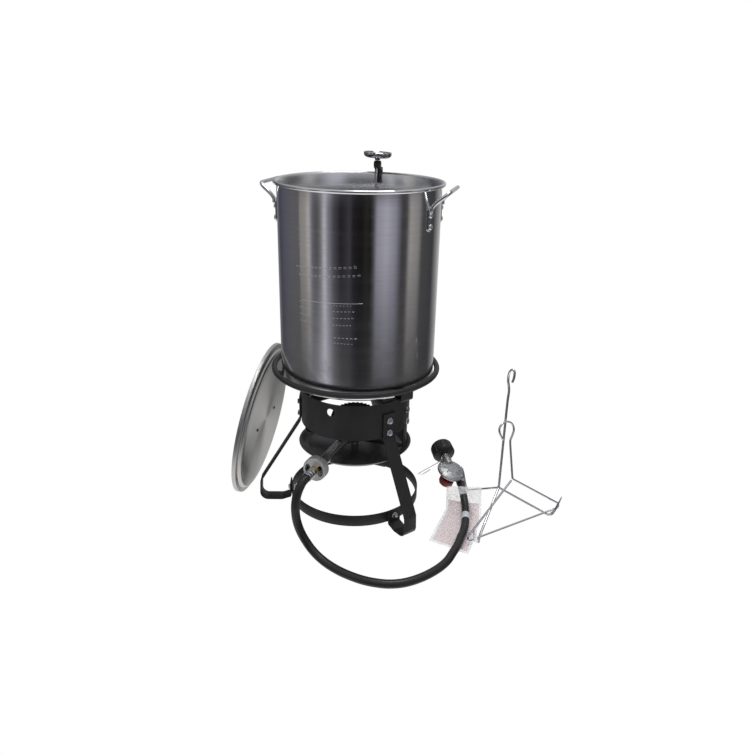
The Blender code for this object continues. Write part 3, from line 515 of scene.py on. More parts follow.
def corner_arc(before, corner, after, radius, steps, reach):
    """Arc for one corner; it takes up at most a share, reach, of each neighbouring side."""
    one, two = before - corner, after - corner
    if radius <= 0 or one.length < 1e-6 or two.length < 1e-6:
        return [corner]
    u, v = one.normalized(), two.normalized()
    angle = acos(max(-1.0, min(1.0, u.dot(v))))
    if angle > pi - 0.02 or angle < 0.02:
        return [corner]
    trim = min(radius / tan(angle / 2), reach * one.length, reach * two.length)
    centre = corner + (u + v).normalized() * (trim * tan(angle / 2) / sin(angle / 2))
    start, end = corner + u * trim - centre, corner + v * trim - centre
    sweep = start.angle(end)
    axis = start.cross(end).normalized()
    return [centre + Matrix.Rotation(sweep * k / steps, 3, axis) @ start
            for k in range(steps + 1)]


def round_outline(points, radii, steps=4, closed=False):
    """Round the corners of a 2D outline; radii is one value or one per point."""
    points = [Vector((x, y, 0)) for x, y in points]
    count = len(points)
    out = [] if closed else [points[0]]
    for i in (range(count) if closed else range(1, count - 1)):
        radius = radii[i] if isinstance(radii, list) else radii
        out += corner_arc(points[i - 1], points[i], points[(i + 1) % count],
                          radius, steps, 0.48)
    if not closed:
        out.append(points[-1])
    return [(p.x, p.y) for p in out]


def round_path(points, radii, steps):
    """Round the inner corners of a 3D path; radii has one value per inner corner."""
    points = [Vector(p) for p in points]
    out = [points[0]]
    for i, radius in enumerate(radii, 1):
        out += corner_arc(points[i - 1], points[i], points[i + 1], radius, steps, 0.49)
    return out + [points[-1]]


def spline(points, steps):
    """Catmull-Rom curve through the points."""
    points = [Vector(p) for p in points]
    points = [points[0] * 2 - points[1]] + points + [points[-1] * 2 - points[-2]]
    out = []
    for a, b, c, d in zip(points, points[1:], points[2:], points[3:]):
        for k in range(steps):
            t = k / steps
            out.append(0.5 * ((2 * b) + (c - a) * t + (2 * a - 5 * b + 4 * c - d) * t * t
                              + (3 * b - a - 3 * c + d) * t ** 3))
    out.append(points[-2])
    return out


def subdivide(points, step):
    out = [Vector(points[0])]
    for a, b in zip(points[:-1], points[1:]):
        count = max(1, int((b - a).length / step))
        out += [a.lerp(b, k / count) for k in range(1, count + 1)]
    return out


def rod(mesh, points, radius, sides, dome=0.0):
    """Sweep a round bar; radius is a number or a function of the share of the length."""
    last = len(points) - 1
    lengths = [0.0]
    for a, b in zip(points[:-1], points[1:]):
        lengths.append(lengths[-1] + (b - a).length)
    tangents = [(points[min(last, i + 1)] - points[max(0, i - 1)]).normalized()
                for i in range(last + 1)]
    normal = Vector((0, 0, 1)) if abs(tangents[0].z) < 0.9 else Vector((1, 0, 0))
    normal = (normal - tangents[0] * normal.dot(tangents[0])).normalized()
    rows = []
    for i, (point, tangent) in enumerate(zip(points, tangents)):
        if i > 0:
            axis = tangents[i - 1].cross(tangent)
            if axis.length > 1e-9:
                turn = Matrix.Rotation(tangents[i - 1].angle(tangent), 3, axis.normalized())
                normal = turn @ normal
            normal = (normal - tangent * normal.dot(tangent)).normalized()
        side = tangent.cross(normal)
        r = radius(lengths[i] / lengths[-1]) if callable(radius) else radius
        row = []
        for k in range(sides):
            a = 2 * pi * k / sides
            row.append(mesh.verts.new(point + (normal * cos(a) + side * sin(a)) * r))
        rows.append(row)
    bridge(mesh, rows, caps=False)
    for row, point, tangent in ((rows[0], points[0], -tangents[0]),
                                (rows[-1], points[-1], tangents[-1])):
        tip = mesh.verts.new(point + tangent * dome)
        for k in range(sides):
            mesh.faces.new((row[k], row[(k + 1) % sides], tip))


def flat_bar(mesh, path, width, thick, edge):
    """Flat bar along a path in the xz plane, its width along y, its long edges rounded."""
    across = Vector((0, 1, 0))
    rows = []
    last = len(path) - 1
    for i, point in enumerate(path):
        before = path[i] - path[i - 1] if i > 0 else path[1] - path[0]
        before = before.normalized()
        after = (path[i + 1] - path[i]).normalized() if i < last else before
        tangent = (before + after).normalized()
        normal = across.cross(tangent).normalized()
        # thicker at a bend so that the bar keeps its gauge
        h = thick / 2 / max(0.5, tangent.dot(after))
        w = width / 2
        e = min(edge, h * 0.9)
        half = [(h, w - e), (h - e * 0.3, w - e * 0.3), (h - e, w),
                (-h + e, w), (-h + e * 0.3, w - e * 0.3), (-h, w - e)]
        section = half + [(-a, -b) for a, b in half]
        rows.append([mesh.verts.new(point + normal * a + across * b) for a, b in section])
    bridge(mesh, rows)


def prism(mesh, outline, z0, z1, bevel=0.0):
    """Extrude an (x, y) outline along z; the bevel shrinks its ends towards the middle."""
    if bevel:
        levels = [(z0, -bevel), (z0 + bevel, 0.0), (z1 - bevel, 0.0), (z1, -bevel)]
    else:
        levels = [(z0, 0.0), (z1, 0.0)]
    middle_x = sum(p[0] for p in outline) / len(outline)
    middle_y = sum(p[1] for p in outline) / len(outline)
    rows = []
    for z, grow in levels:
        row = []
        for x, y in outline:
            d = Vector((x - middle_x, y - middle_y, 0))
            k = (d.length + grow) / d.length if d.length > 1e-6 else 1.0
            row.append(mesh.verts.new((middle_x + d.x * k, middle_y + d.y * k, z)))
        rows.append(row)
    bridge(mesh, rows)


def hex_head(mesh, z0, z1, radius):
    """Hexagonal prism from z0 to its outer face at z1, where its corners are chamfered."""
    side = 1 if z1 > z0 else -1
    face_radius = radius * cos(pi / 6) * 0.985
    angles = [2 * pi * k / 48 for k in range(48)]
    hexagon = [radius * cos(pi / 6) / cos(a % (pi / 3) - pi / 6) for a in angles]
    rings = ([(r, z0) for r in hexagon],
             [(r, z1 - side * max(0.05, (r - face_radius) * 0.55)) for r in hexagon],
             [(face_radius, z1)] * 48)
    bridge(mesh, [[mesh.verts.new((r * cos(a), r * sin(a), z))
                   for a, (r, z) in zip(angles, ring)] for ring in rings])


# ---------------------------------------------------------------- pot
def build_pot_shell():
    inside = POT_RADIUS - POT_WALL
    floor = POT_BASE + 3.0
    wall_levels = [POT_BASE + 20 + (POT_RIM - 24 - POT_BASE) * k / 12 for k in range(1, 12)]
    inner = round_outline([(0, floor), (60, floor), (inside, floor), (inside, 500)],
                          [0, 0, 14, 0], 8)[:-1]
    inner += [(inside, z) for z in wall_levels] + [(inside, POT_RIM - 1.5)]
    bead = [(POT_RADIUS + RIM_BEAD - RIM_BEAD * cos(radians(a)),
             POT_RIM + RIM_BEAD * sin(radians(a))) for a in range(10, 331, 20)]
    outer = [(POT_RADIUS + 0.05, POT_RIM - 3.9)]
    outer += [(POT_RADIUS, z) for z in reversed(wall_levels)]
    outer += round_outline([(POT_RADIUS, 330), (POT_RADIUS, POT_BASE), (100, POT_BASE),
                            (0, POT_BASE)], [0, 12.5, 0, 0], 8)[1:]
    profile = inner + bead + outer
    inside_bands = len(inner) + 2
    mesh = bmesh.new()
    revolve(mesh, profile, 180,
            slots=[1] * inside_bands + [0] * (len(profile) - inside_bands))
    add("pot_shell", mesh, ["pot_outside", "pot_inside"], "pot", "pot_body",
        POT_FRAME, 40.0)


def wall_mark(mesh, start, end, z0, z1, relief, tilt=0.0):
    """Raised bar on the pot wall between two azimuths; tilt is mm of rise per degree."""
    count = max(1, int((end - start) / 3.0))
    inset = 0.5
    rows = []
    for z, inward, rise in ((z0, 0.0, -0.3), (z0 + inset, inset, relief),
                            (z1 - inset, inset, relief), (z1, 0.0, -0.3)):
        margin = degrees(inward / POT_RADIUS)
        radius = POT_RADIUS + rise
        row = []
        for k in range(count + 1):
            a = start + (end - start) * k / count
            a = min(max(a, start + margin), end - margin)
            row.append(mesh.verts.new((radius * cos(radians(a)), radius * sin(radians(a)),
                                       z + tilt * (a - start))))
        rows.append(row)
    for row, above in zip(rows[:-1], rows[1:]):
        for k in range(count):
            mesh.faces.new((row[k], row[k + 1], above[k + 1], above[k]))
    for end_index in (0, -1):
        mesh.faces.new([row[end_index] for row in rows])


def dash_row(mesh, z, start, end, count, tall, tilt, relief=0.45):
    step = (end - start) / count
    for k in range(count):
        a = start + step * k
        middle = z + tilt * (a - start)
        wall_mark(mesh, a + step * 0.14, a + step * 0.76, middle - tall / 2,
                  middle + tall / 2, relief)


def build_pot_marks():
    """Plain raised dashes and a line on the front left of the pot wall."""
    mesh = bmesh.new()
    dash_row(mesh, 539.5, -137.0, -90.5, 14, tall=3.4, tilt=0.22, relief=0.55)
    dash_row(mesh, 525.2, -134.0, -88.0, 14, tall=3.4, tilt=0.22, relief=0.55)
    wall_mark(mesh, -131.5, -87.0, 479.5, 480.6, relief=0.5, tilt=0.10)
    # z, start azimuth, end azimuth; each row is broken in the middle
    for z, start, end in ((474.5, -134.0, -93.5), (463.5, -134.0, -92.0),
                          (451.0, -134.0, -92.5), (438.0, -133.0, -94.0)):
        dash_row(mesh, z + 2.0, start, -123.5, 4, tall=1.8, tilt=0.12)
        dash_row(mesh, z + 4.0, -107.5, end, 6, tall=1.8, tilt=0.12)
    for z, start, end in ((418.5, -107.0, -90.0), (408.0, -107.0, -93.0)):
        dash_row(mesh, z, start, end, 6, tall=1.8, tilt=0.0)
    add("pot_marks", mesh, "pot_mark", "pot", None, POT_FRAME, 20.0)


def build_handle(name, azimuth):
    """Wire loop between two foot plates, with a swollen collar at each foot."""
    foot_radius = 159.0
    spread = radians(HANDLE_SPREAD)
    # outwards, sideways, z: half of the loop from one foot to near its middle
    half = [(foot_radius * cos(spread), foot_radius * sin(spread), 638.5),
            (150.0, 52.95, 643), (153.0, 52.8, 648), (158.0, 52.4, 653.5),
            (171.0, 51.0, 664.0), (175.8, 48.6, 668.2), (178.4, 44.5, 670.6),
            (179.4, 39.0, 671.4), (179.4, 28.0, 671.6), (179.4, 12.0, 671.6)]
    # z, sideways: outline of a foot plate
    plate = round_outline([(601.6, -6.4), (640.0, -6.4), (646.0, -3.4), (646.0, 3.4),
                           (640.0, 6.4), (601.6, 6.4)], [6.2, 3, 1.5, 1.5, 3, 6.2], 6, True)
    mesh = bmesh.new()
    rod(mesh, spline(half + [(x, -y, z) for x, y, z in reversed(half)], 5), 3.5, 18, 1.0)
    for side in (-1, 1):
        with placed(mesh, outward(side * HANDLE_SPREAD)):
            prism(mesh, plate, 155.35, 157.75, 0.45)
        a = radians(side * HANDLE_SPREAD)
        foot = Vector((foot_radius * cos(a), foot_radius * sin(a), 0))
        rod(mesh, [foot + UP * z for z in (636.6, 638.6, 642.5, 645.0)],
            lambda t: 3.1 + 1.1 * sin(pi * min(1.0, t * 1.1)), 16, 0.6)
    add(name + "_wire", mesh, "plated", "pot", name,
        turned(azimuth, POT_CENTRE), 40.0)


def build_handles():
    rivet = [(0, 160.9)]
    rivet += [(5.5 * sin(radians(a)), 157.85 + 3.05 * cos(radians(a)))
              for a in (15, 30, 45, 60, 75, 88)]
    rivet += [(5.5, 157.8), (2.5, 157.7), (2.5, 153.2), (4.7, 153.2), (4.7, 152.6),
              (3.6, 151.7), (0, 151.4)]
    number = 0
    for name, azimuth in HANDLES:
        build_handle(name, azimuth)
        for side in (-1, 1):
            for z in RIVET_HEIGHTS:
                number += 1
                mesh = bmesh.new()
                revolve(mesh, rivet, 28)
                add("pot_rivet_head_%d" % number, mesh, "rivet", "pot",
                    "pot_rivet_%d" % number,
                    outward(azimuth + side * HANDLE_SPREAD, z, POT_CENTRE), 45.0)


# ---------------------------------------------------------------- thermometer
def build_thermometer():
    # radius, z from the dial's centre: face, case and bezel, case back, then the stem
    profile = [
        (0, 1.5), (25.2, 1.5), (25.4, 1.9), (25.4, 4.1), (25.9, 4.1), (26.0, 6.0),
        (26.6, 6.7), (27.6, 6.6), (28.4, 5.8), (28.6, 4.4), (28.3, 1.5), (27.4, -0.8),
        (25.0, -3.0), (21.5, -4.4), (12.0, -5.0), (6.6, -5.4), (5.6, -6.0), (5.2, -8.8),
        (4.6, -9.5), (2.1, -9.8), (2.0, -40), (2.0, -150), (2.0, -288), (1.5, -294),
        (0.4, -297), (0, -297)]
    mesh = bmesh.new()
    revolve(mesh, profile, 72, slots=[1] + [0] * 3 + [2] * 6 + [0] * 9 + [3] * 6)
    add("thermometer_case", mesh, ["dial_case", "dial_face", "dial_bezel", "rivet"],
        "thermometer", "thermometer_dial", DIAL_FRAME)

    mesh = bmesh.new()
    revolve(mesh, [(0, 5.9), (12, 5.8), (25.6, 5.2), (25.85, 4.8), (25.6, 4.35), (0, 4.35)],
            64)
    add("thermometer_glass", mesh, "dial_glass", "thermometer",
        "thermometer_lens", DIAL_FRAME)

    mesh = bmesh.new()
    prism(mesh, [(-7, -1.3), (0, -1.0), (19.4, -0.3), (19.4, 0.3), (0, 1.0), (-7, 1.3)],
          2.3, 2.9)
    revolve(mesh, [(0, 3.4), (1.8, 3.3), (2.0, 2.9), (2.0, 2.25), (0, 2.25)], 20)
    add("thermometer_pointer", mesh, "needle", "needle", "thermometer_needle",
        frame_at(DIAL_CENTRE, STEM_AXIS, (-0.8, 0.6, 0)))


def build_clip():
    """Plastic clip over the pot rim: local x outwards, y up, z around the rim."""
    # radius from the pot's axis, z
    outline = [
        (148.1, 660), (148.1, 686), (140.2, 688.5), (137.6, 697), (140.4, 703), (149.8, 703),
        (152.6, 698), (151, 690.5), (165.6, 689.5), (166.8, 687), (166.8, 664), (165.0, 661),
        (163.6, 664), (163.6, 683.6), (152.7, 683.6), (152.7, 661.5), (150.5, 660)]
    radii = [0.8, 1.5, 2, 3, 2, 2, 2, 2, 1.2, 1.0, 1.0, 1.0, 0.3, 0.8, 0.8, 0.8, 0.8]
    outline = [Vector(p) for p in round_outline(outline, radii, 4, True)]
    mesh = bmesh.new()
    rows = []
    for z, grow in ((-6.5, -0.7), (-5.8, 0.0), (5.8, 0.0), (6.5, -0.7)):
        row = []
        for i, point in enumerate(outline):
            along = (outline[(i + 1) % len(outline)] - outline[i - 1]).normalized()
            moved = point + Vector((-along.y, along.x)) * grow
            row.append(mesh.verts.new((moved.x, moved.y, z)))
        rows.append(row)
    bridge(mesh, rows)
    for y in (693.0, 697.0):      # two grip ribs
        prism(mesh, [(139.0, y), (151.6, y), (151.6, y + 1.2), (139.0, y + 1.2)],
              -7.0, 7.0, 0.3)
    out, around = spoke(atan2(DIAL_CENTRE[1] - POT_CENTRE[1],
                              DIAL_CENTRE[0] - POT_CENTRE[0]))
    add("clip_body", mesh, "clip", "thermometer_clip", "thermometer_clip",
        axes_matrix(out, UP, -around, (*POT_CENTRE, 0)))


# ---------------------------------------------------------------- lid
def build_lid():
    """Stepped disc with a turned-down edge; its handle hangs from the underside."""
    step = LID_STEP
    top = [(0, step), (30, step - 0.03), (60, step - 0.07), (90, step - 0.1),
           (115, step - 0.15)]
    top += round_outline([(0, step), (138, step - 0.2), (152.0, step - 0.8),
                          (154.6, step - 2.7), (155.6, 0.8), (165.4, 0.4)],
                         [0, 6, 4, 2.5, 2.0, 0], 5)[1:]
    edge = [(166.3, 0.2), (166.9, -0.4), (167.1, -1.2), (167.2, -7.2), (166.9, -7.6),
            (166.2, -7.6), (165.9, -7.2)]
    under = round_outline([(165.7, -0.9), (154.2, -0.7), (153.0, step - 3.2),
                           (150.5, step - 2.0), (140, step - 1.5), (0, step - 1.4)],
                          [0.6, 1.5, 2.0, 3, 6, 0], 5)
    mesh = bmesh.new()
    revolve(mesh, top + edge + under, 160)
    add("lid_pan", mesh, "lid_satin", "lid", "lid", LID_FRAME)

    foot = step - 2.8             # middle of the handle strap where it is riveted
    grip = foot - 31
    half = [(LID_RIVET + 9, foot), (LID_RIVET - 8, foot), (LID_RIVET - 17, grip)]
    path = [(x, 0, z) for x, z in half] + [(-x, 0, z) for x, z in reversed(half)]
    mesh = bmesh.new()
    flat_bar(mesh, round_path(path, [5, 9, 9, 5], 8), width=14.0, thick=2.0, edge=0.6)
    add("lid_handle_strap", mesh, "plated", "lid", "lid_handle", LID_FRAME)

    rivet = [(0, step + 1.9), (1.6, step + 1.8), (2.8, step + 1.4), (3.7, step + 0.9),
             (3.8, step + 0.4), (2.4, step + 0.35), (2.4, foot - 1.2), (4.7, foot - 1.2),
             (4.6, foot - 2.0), (3.4, foot - 3.0), (0, foot - 3.5)]
    for number, side in ((1, -1), (2, 1)):
        mesh = bmesh.new()
        revolve(mesh, rivet, 24, slots=[1] * 4 + [0] * 6)
        centre = Vector(LID_CENTRE) + LID_ACROSS * side * LID_RIVET
        add("lid_rivet_pin_%d" % number, mesh, ["rivet", "rivet_dark"], "lid",
            "lid_rivet_%d" % number,
            frame_at(centre, LID_NORMAL, LID_ACROSS), 45.0)


# ---------------------------------------------------------------- stand
def build_pot_ring():
    """Round ring on three cranked straps, with a weld bead at each."""
    ring_radius, bar_radius, ring_z = 165.7, 5.5, 312.3
    mesh = bmesh.new()
    revolve(mesh, [(ring_radius + bar_radius * sin(2 * pi * k / 24),
                    ring_z + bar_radius * cos(2 * pi * k / 24)) for k in range(24)],
            144, True)
    path = round_path([(109.0, 0, 197.0), (109.0, 0, 290.2), (165.8, 0, 290.2),
                       (165.8, 0, 309.5)], [7.0, 5.0], 8)
    for azimuth in LEG_AZIMUTHS:
        out, around = spoke(radians(azimuth))
        with placed(mesh, axes_matrix(out, around, UP)):
            flat_bar(mesh, path, width=28.0, thick=3.0, edge=0.7)
        bead = [out * (168.3 - 0.2 * abs(k)) + around * (k * 3.1)
                + UP * (306.9 + 0.25 * sin(k * 2.1)) for k in range(-4, 5)]
        rod(mesh, bead, lambda t: 1.0 + 0.25 * sin(t * 40), 8, 0.6)
    add("pot_ring_welded", mesh, "satin_black", "stand", "pot_ring")


def cut_with(ob, cutter):
    modifier = ob.modifiers.new("cut", 'BOOLEAN')
    modifier.operation = 'DIFFERENCE'
    modifier.solver = 'EXACT'
    modifier.object = cutter
    bpy.context.view_layer.update()
    graph = bpy.context.evaluated_depsgraph_get()
    cut = bpy.data.meshes.new_from_object(ob.evaluated_get(graph))
    old = ob.data
    ob.modifiers.clear()
    ob.data = cut
    bpy.data.meshes.remove(old)


def build_wind_guard():
    """Thin band round the burner with a hole for lighting it."""
    radius, thick, low, high, steps = 113.2, 1.2, 193.1, 267.9, 240
    levels = [low, low + 0.4, 200, 210, 220, 230, 238]
    levels += [241.5 + k * 1.0 for k in range(17)]      # close rows around the hole
    levels += [260, 264, high - 0.4, high]
    mesh = bmesh.new()
    outer, inner = [], []
    for z in levels:
        for skin, r in ((outer, radius), (inner, radius - thick)):
            skin.append([mesh.verts.new((r * cos(2 * pi * k / steps),
                                         r * sin(2 * pi * k / steps), z))
                         for k in range(steps)])
    for skin, order in ((outer, 1), (inner, -1)):
        for row, above in zip(skin[:-1], skin[1:]):
            for k in range(steps):
                j = (k + 1) % steps
                mesh.faces.new((row[k], row[j], above[j], above[k])[::order])
    for i in (0, -1):
        for k in range(steps):
            j = (k + 1) % steps
            mesh.faces.new((outer[i][k], outer[i][j], inner[i][j], inner[i][k]))
    guard = add("wind_guard_band", mesh, "satin_black", "stand", "wind_guard",
                None, 30.0)

    mesh = bmesh.new()
    revolve(mesh, [(0, 100), (LIGHT_HOLE_RADIUS, 100), (LIGHT_HOLE_RADIUS, 125), (0, 125)],
            40)
    bmesh.ops.recalc_face_normals(mesh, faces=mesh.faces[:])
    cutter = link_object("light_hole_cut", to_metres("light_hole_cut", mesh))
    matrix = outward(LIGHT_HOLE_AZIMUTH, LIGHT_HOLE_Z)
    matrix.translation = (matrix.translation + STAND_AXIS) * MM
    cutter.matrix_world = matrix
    cut_with(guard, cutter)
    bpy.data.objects.remove(cutter, do_unlink=True)


def build_base_and_legs():
    mesh = bmesh.new()
    revolve(mesh, round_outline([(134.2, 35.8), (137.2, 35.8), (137.2, 12.0), (134.2, 12.0)],
                                0.7, 3, True), 160, True)
    add("base_band", mesh, "satin_black", "stand", "base_ring", None, 30.0)

    for number, (azimuth, reach) in enumerate(zip(LEG_AZIMUTHS, LEG_REACHES), 1):
        path = round_path([(115.2, 0, 245.0), (115.2, 0, 190.5), (reach - 1.8, 0, 45.5),
                           (reach, 0, 1.5), (158.0, 0, 1.5), (139.3, 0, 8.0),
                           (139.3, 0, 38.5)], [10.0, 10.0, 16.0, 6.0, 3.0], 10)
        mesh = bmesh.new()
        flat_bar(mesh, path, width=30.0, thick=3.0, edge=0.6)
        add("leg_bar_%d" % number, mesh, "satin_black", "stand",
            "stand_leg_%d" % number, turned(azimuth), 30.0)


def hex_bolt(name, node, azimuth, z, outer, inner, spin):
    """Bolt along a radius: head and washer outside radius outer, nut inside radius inner."""
    hex_radius = 5.7
    tail = inner - 7.2
    mesh = bmesh.new()
    spun = Matrix.Rotation(spin, 4, 'Z')
    with placed(mesh, spun):
        hex_head(mesh, outer + 0.9, outer + 4.2, hex_radius)
    revolve(mesh, [(0, outer + 0.95), (6.6, outer + 0.95), (6.9, outer + 0.6),
                   (6.9, outer + 0.05), (0, outer + 0.05)], 32)
    count = int((outer - inner + 7.2) / 0.5)
    thread = [(0, tail)]
    thread += [(2.95 if k % 2 else 2.6, inner - 7.0 + 0.5 * k) for k in range(count)]
    thread += [(0, outer)]
    revolve(mesh, thread[::-1], 18)
    with placed(mesh, spun):
        hex_head(mesh, inner - 0.05, inner - 4.6, hex_radius)
    add(name, mesh, "zinc", "stand", node, outward(azimuth, z), 30.0)


def build_bolts():
    places = [(azimuth, z) for azimuth in LEG_AZIMUTHS for z in BOLT_HEIGHTS]
    for k, (azimuth, z) in enumerate(places, 1):
        hex_bolt("leg_screw_%d" % k, "leg_bolt_%d" % k, azimuth, z,
                 outer=116.75, inner=107.3, spin=0.3 + k)
    for i, azimuth in enumerate(LEG_AZIMUTHS):
        hex_bolt("base_screw_%d" % (i + 1), "base_bolt_%d" % (i + 1), azimuth, 24.0,
                 outer=140.85, inner=133.9, spin=0.9 * i + 0.2)
    places = [(azimuth, z) for azimuth in (STRAP_AZIMUTH, STRAP_AZIMUTH + 180)
              for z in BOLT_HEIGHTS]
    for k, (azimuth, z) in enumerate(places, 1):
        hex_bolt("bracket_screw_%d" % k, "bracket_bolt_%d" % k, azimuth, z,
                 outer=113.3, inner=107.7, spin=0.5 * k)


def build_burner_support():
    """U-shaped strap across the stand, the dish on it and the screw up the middle."""
    half_span, low, high = 109.4, 147.4, 241.0
    path = [(half_span, 0, high), (half_span, 0, low), (-half_span, 0, low),
            (-half_span, 0, high)]
    mesh = bmesh.new()
    flat_bar(mesh, round_path(path, [9.0, 9.0], 8), width=25.0, thick=3.0, edge=0.6)
    add("burner_strap", mesh, "satin_black", "stand", "burner_bracket",
        turned(STRAP_AZIMUTH), 30.0)

    top = round_outline([(4.6, 129.2), (92.0, 129.2), (100.0, 131.2), (115.2, 142.6),
                         (118.3, 143.9)], [0, 10, 8, 4, 0], 5)
    bottom = round_outline([(118.9, 142.9), (116.4, 141.7), (100.9, 130.0), (92.5, 128.0),
                            (4.6, 128.0)], [0, 4, 8, 10, 0], 5)
    mesh = bmesh.new()
    revolve(mesh, top + [(118.8, 143.8), (119.1, 143.4)] + bottom, 144, True)
    add("drip_dish", mesh, "pan_charcoal", "stand", "drip_pan", None, 30.0)

    mesh = bmesh.new()
    hex_head(mesh, 127.7, 122.0, 8.4)
    revolve(mesh, [(0, 158.5), (3.4, 158.5), (4.0, 157.9), (4.0, 145.7), (8.0, 145.6),
                   (8.0, 129.6), (4.0, 129.4), (4.0, 127.6), (0, 127.6)], 32)
    add("centre_screw", mesh, "zinc", "stand", "centre_bolt", None, 30.0)


# ---------------------------------------------------------------- burner
def build_burner_casting():
    head = round_outline(
        [(0, 214), (20, 213.5), (38, 210), (48, 203), (51, 196), (48, 188), (36, 182),
         (28, 179), (26, 170), (26, 159), (31, 154), (31, 149.3), (0, 149.3)],
        [0, 8, 8, 4, 3, 4, 4, 3, 4, 3, 2, 2, 0], 4)
    mesh = bmesh.new()
    # shallow flutes around the side of the head
    revolve(mesh, head, 96, swell=lambda i, a: 0.9 * cos(a * 24) if 6 < i < 24 else 0.0)
    socket = round_outline([(10.4, 47.0), (14.2, 47.0), (14.2, 8.0), (0, 8.0)],
                           [0, 1.5, 0, 0], 4)
    with placed(mesh, TUBE_FRAME):
        revolve(mesh, socket + [(0, 23.5), (10.4, 23.5)], 40)
    # ports around the crown: ring radius, count, z
    for radius, count, z in ((14, 10, 213.3), (26, 18, 212.2), (38, 26, 209.6)):
        for k in range(count):
            a = 2 * pi * k / count
            with placed(mesh, Matrix.Translation((radius * cos(a), radius * sin(a), z))):
                revolve(mesh, [(2.6, -1.0), (2.6, 0.7), (1.3, 0.9), (1.1, -1.2)], 10)
    add("burner_casting", mesh, "cast", "stand", "burner_head")


def slotted_disc(mesh, bore, rim, z, thick, steps, half_angle):
    """Disc with two facing openings, half_angle degrees to each side of local +y and -y."""
    low_edge, high_edge = 8.4, 18.6        # radii between which the openings lie
    end_band, corner = 1.2, 0.16           # rounded ends: radial width, angle cut off
    limit = radians(half_angle)
    first = low_edge + end_band
    radii = [bore, (bore + low_edge) / 2, low_edge, first]
    radii += [first + (high_edge - low_edge - 2 * end_band) * k / 5 for k in range(1, 5)]
    radii += [high_edge - end_band, high_edge, (high_edge + rim) / 2, rim]

    def is_open(radius, angle):
        if not low_edge < radius < high_edge:
            return False
        for centre in (pi / 2, -pi / 2):
            off = abs((angle - centre + pi) % (2 * pi) - pi)
            if off < limit:
                near_end = min(radius - low_edge, high_edge - radius) < end_band
                return not (near_end and off > limit - corner)
        return False

    low, high = [[[mesh.verts.new((r * cos(2 * pi * k / steps), r * sin(2 * pi * k / steps),
                                   level)) for k in range(steps)] for r in radii]
                 for level in (z, z + thick)]
    bands = len(radii) - 1
    solid = [[not is_open((radii[i] + radii[i + 1]) / 2, 2 * pi * (k + 0.5) / steps)
              for k in range(steps)] for i in range(bands)]
    face = mesh.faces.new
    for i in range(bands):
        n = i + 1
        for k in range(steps):
            if not solid[i][k]:
                continue
            j = (k + 1) % steps
            face((high[i][k], high[n][k], high[n][j], high[i][j]))
            face((low[i][k], low[i][j], low[n][j], low[n][k]))
            if not solid[i][j]:
                face((low[i][j], high[i][j], high[n][j], low[n][j]))
            if not solid[i][k - 1]:
                face((low[i][k], low[n][k], high[n][k], high[i][k]))
            if i == 0 or not solid[i - 1][k]:
                face((low[i][k], high[i][k], high[i][j], low[i][j]))
            if n == bands or not solid[n][k]:
                face((low[n][k], low[n][j], high[n][j], high[n][k]))


def build_mixing_tube():
    """Tube with a flared bell, closed by a slotted face."""
    outside = round_outline([(10.0, 24.0), (10.0, 169.0), (12.5, 173.5), (20.6, 182.0),
                             (20.6, 193.5)], [0, 6, 3, 4, 0], 6)
    inside = round_outline([(19.2, 193.2), (19.2, 182.6), (11.0, 174.3), (8.5, 171.0),
                            (8.5, 24.0)], [0, 3, 3, 3, 0], 5)
    mesh = bmesh.new()
    revolve(mesh, outside + inside, 72, True)
    rod(mesh, [Vector((10.0, 0, 30)), Vector((10.0, 0, 168))], 0.35, 8)   # seam
    add("mixing_tube", mesh, "tube", "stand", "venturi_tube", TUBE_FRAME)

    mesh = bmesh.new()
    slotted_disc(mesh, bore=5.3, rim=19.6, z=193.1, thick=1.8, steps=120, half_angle=47.0)
    add("bell_face", mesh, "tube", "stand", None, TUBE_FRAME)


def build_air_shutter():
    """Slotted cap over the bell with a knurled rim."""
    def knurl(i, angle):
        if 3 <= i <= 6:
            t = (angle * 60 / (2 * pi)) % 1.0
            return -0.55 * (1 - abs(2 * t - 1)) ** 1.5
        return 0.0

    mesh = bmesh.new()
    slotted_disc(mesh, bore=5.5, rim=21.6, z=195.4, thick=2.1, steps=144, half_angle=44.0)
    revolve(mesh, [(21.2, 197.5), (22.3, 197.5), (22.9, 197.1), (23.5, 196.2), (23.5, 192.8),
                   (23.5, 186.8), (23.5, 181.2), (23.1, 180.6), (22.5, 180.2), (22.4, 179.6),
                   (21.4, 179.6), (21.2, 180.0)], 240, True, knurl)
    revolve(mesh, [(23.0, 192.2), (23.2, 192.0), (23.2, 187.4), (23.0, 187.2)], 96)
    add("shutter_cap", mesh, "shutter", "air_shutter", "air_shutter",
        TUBE_FRAME, 28.0)


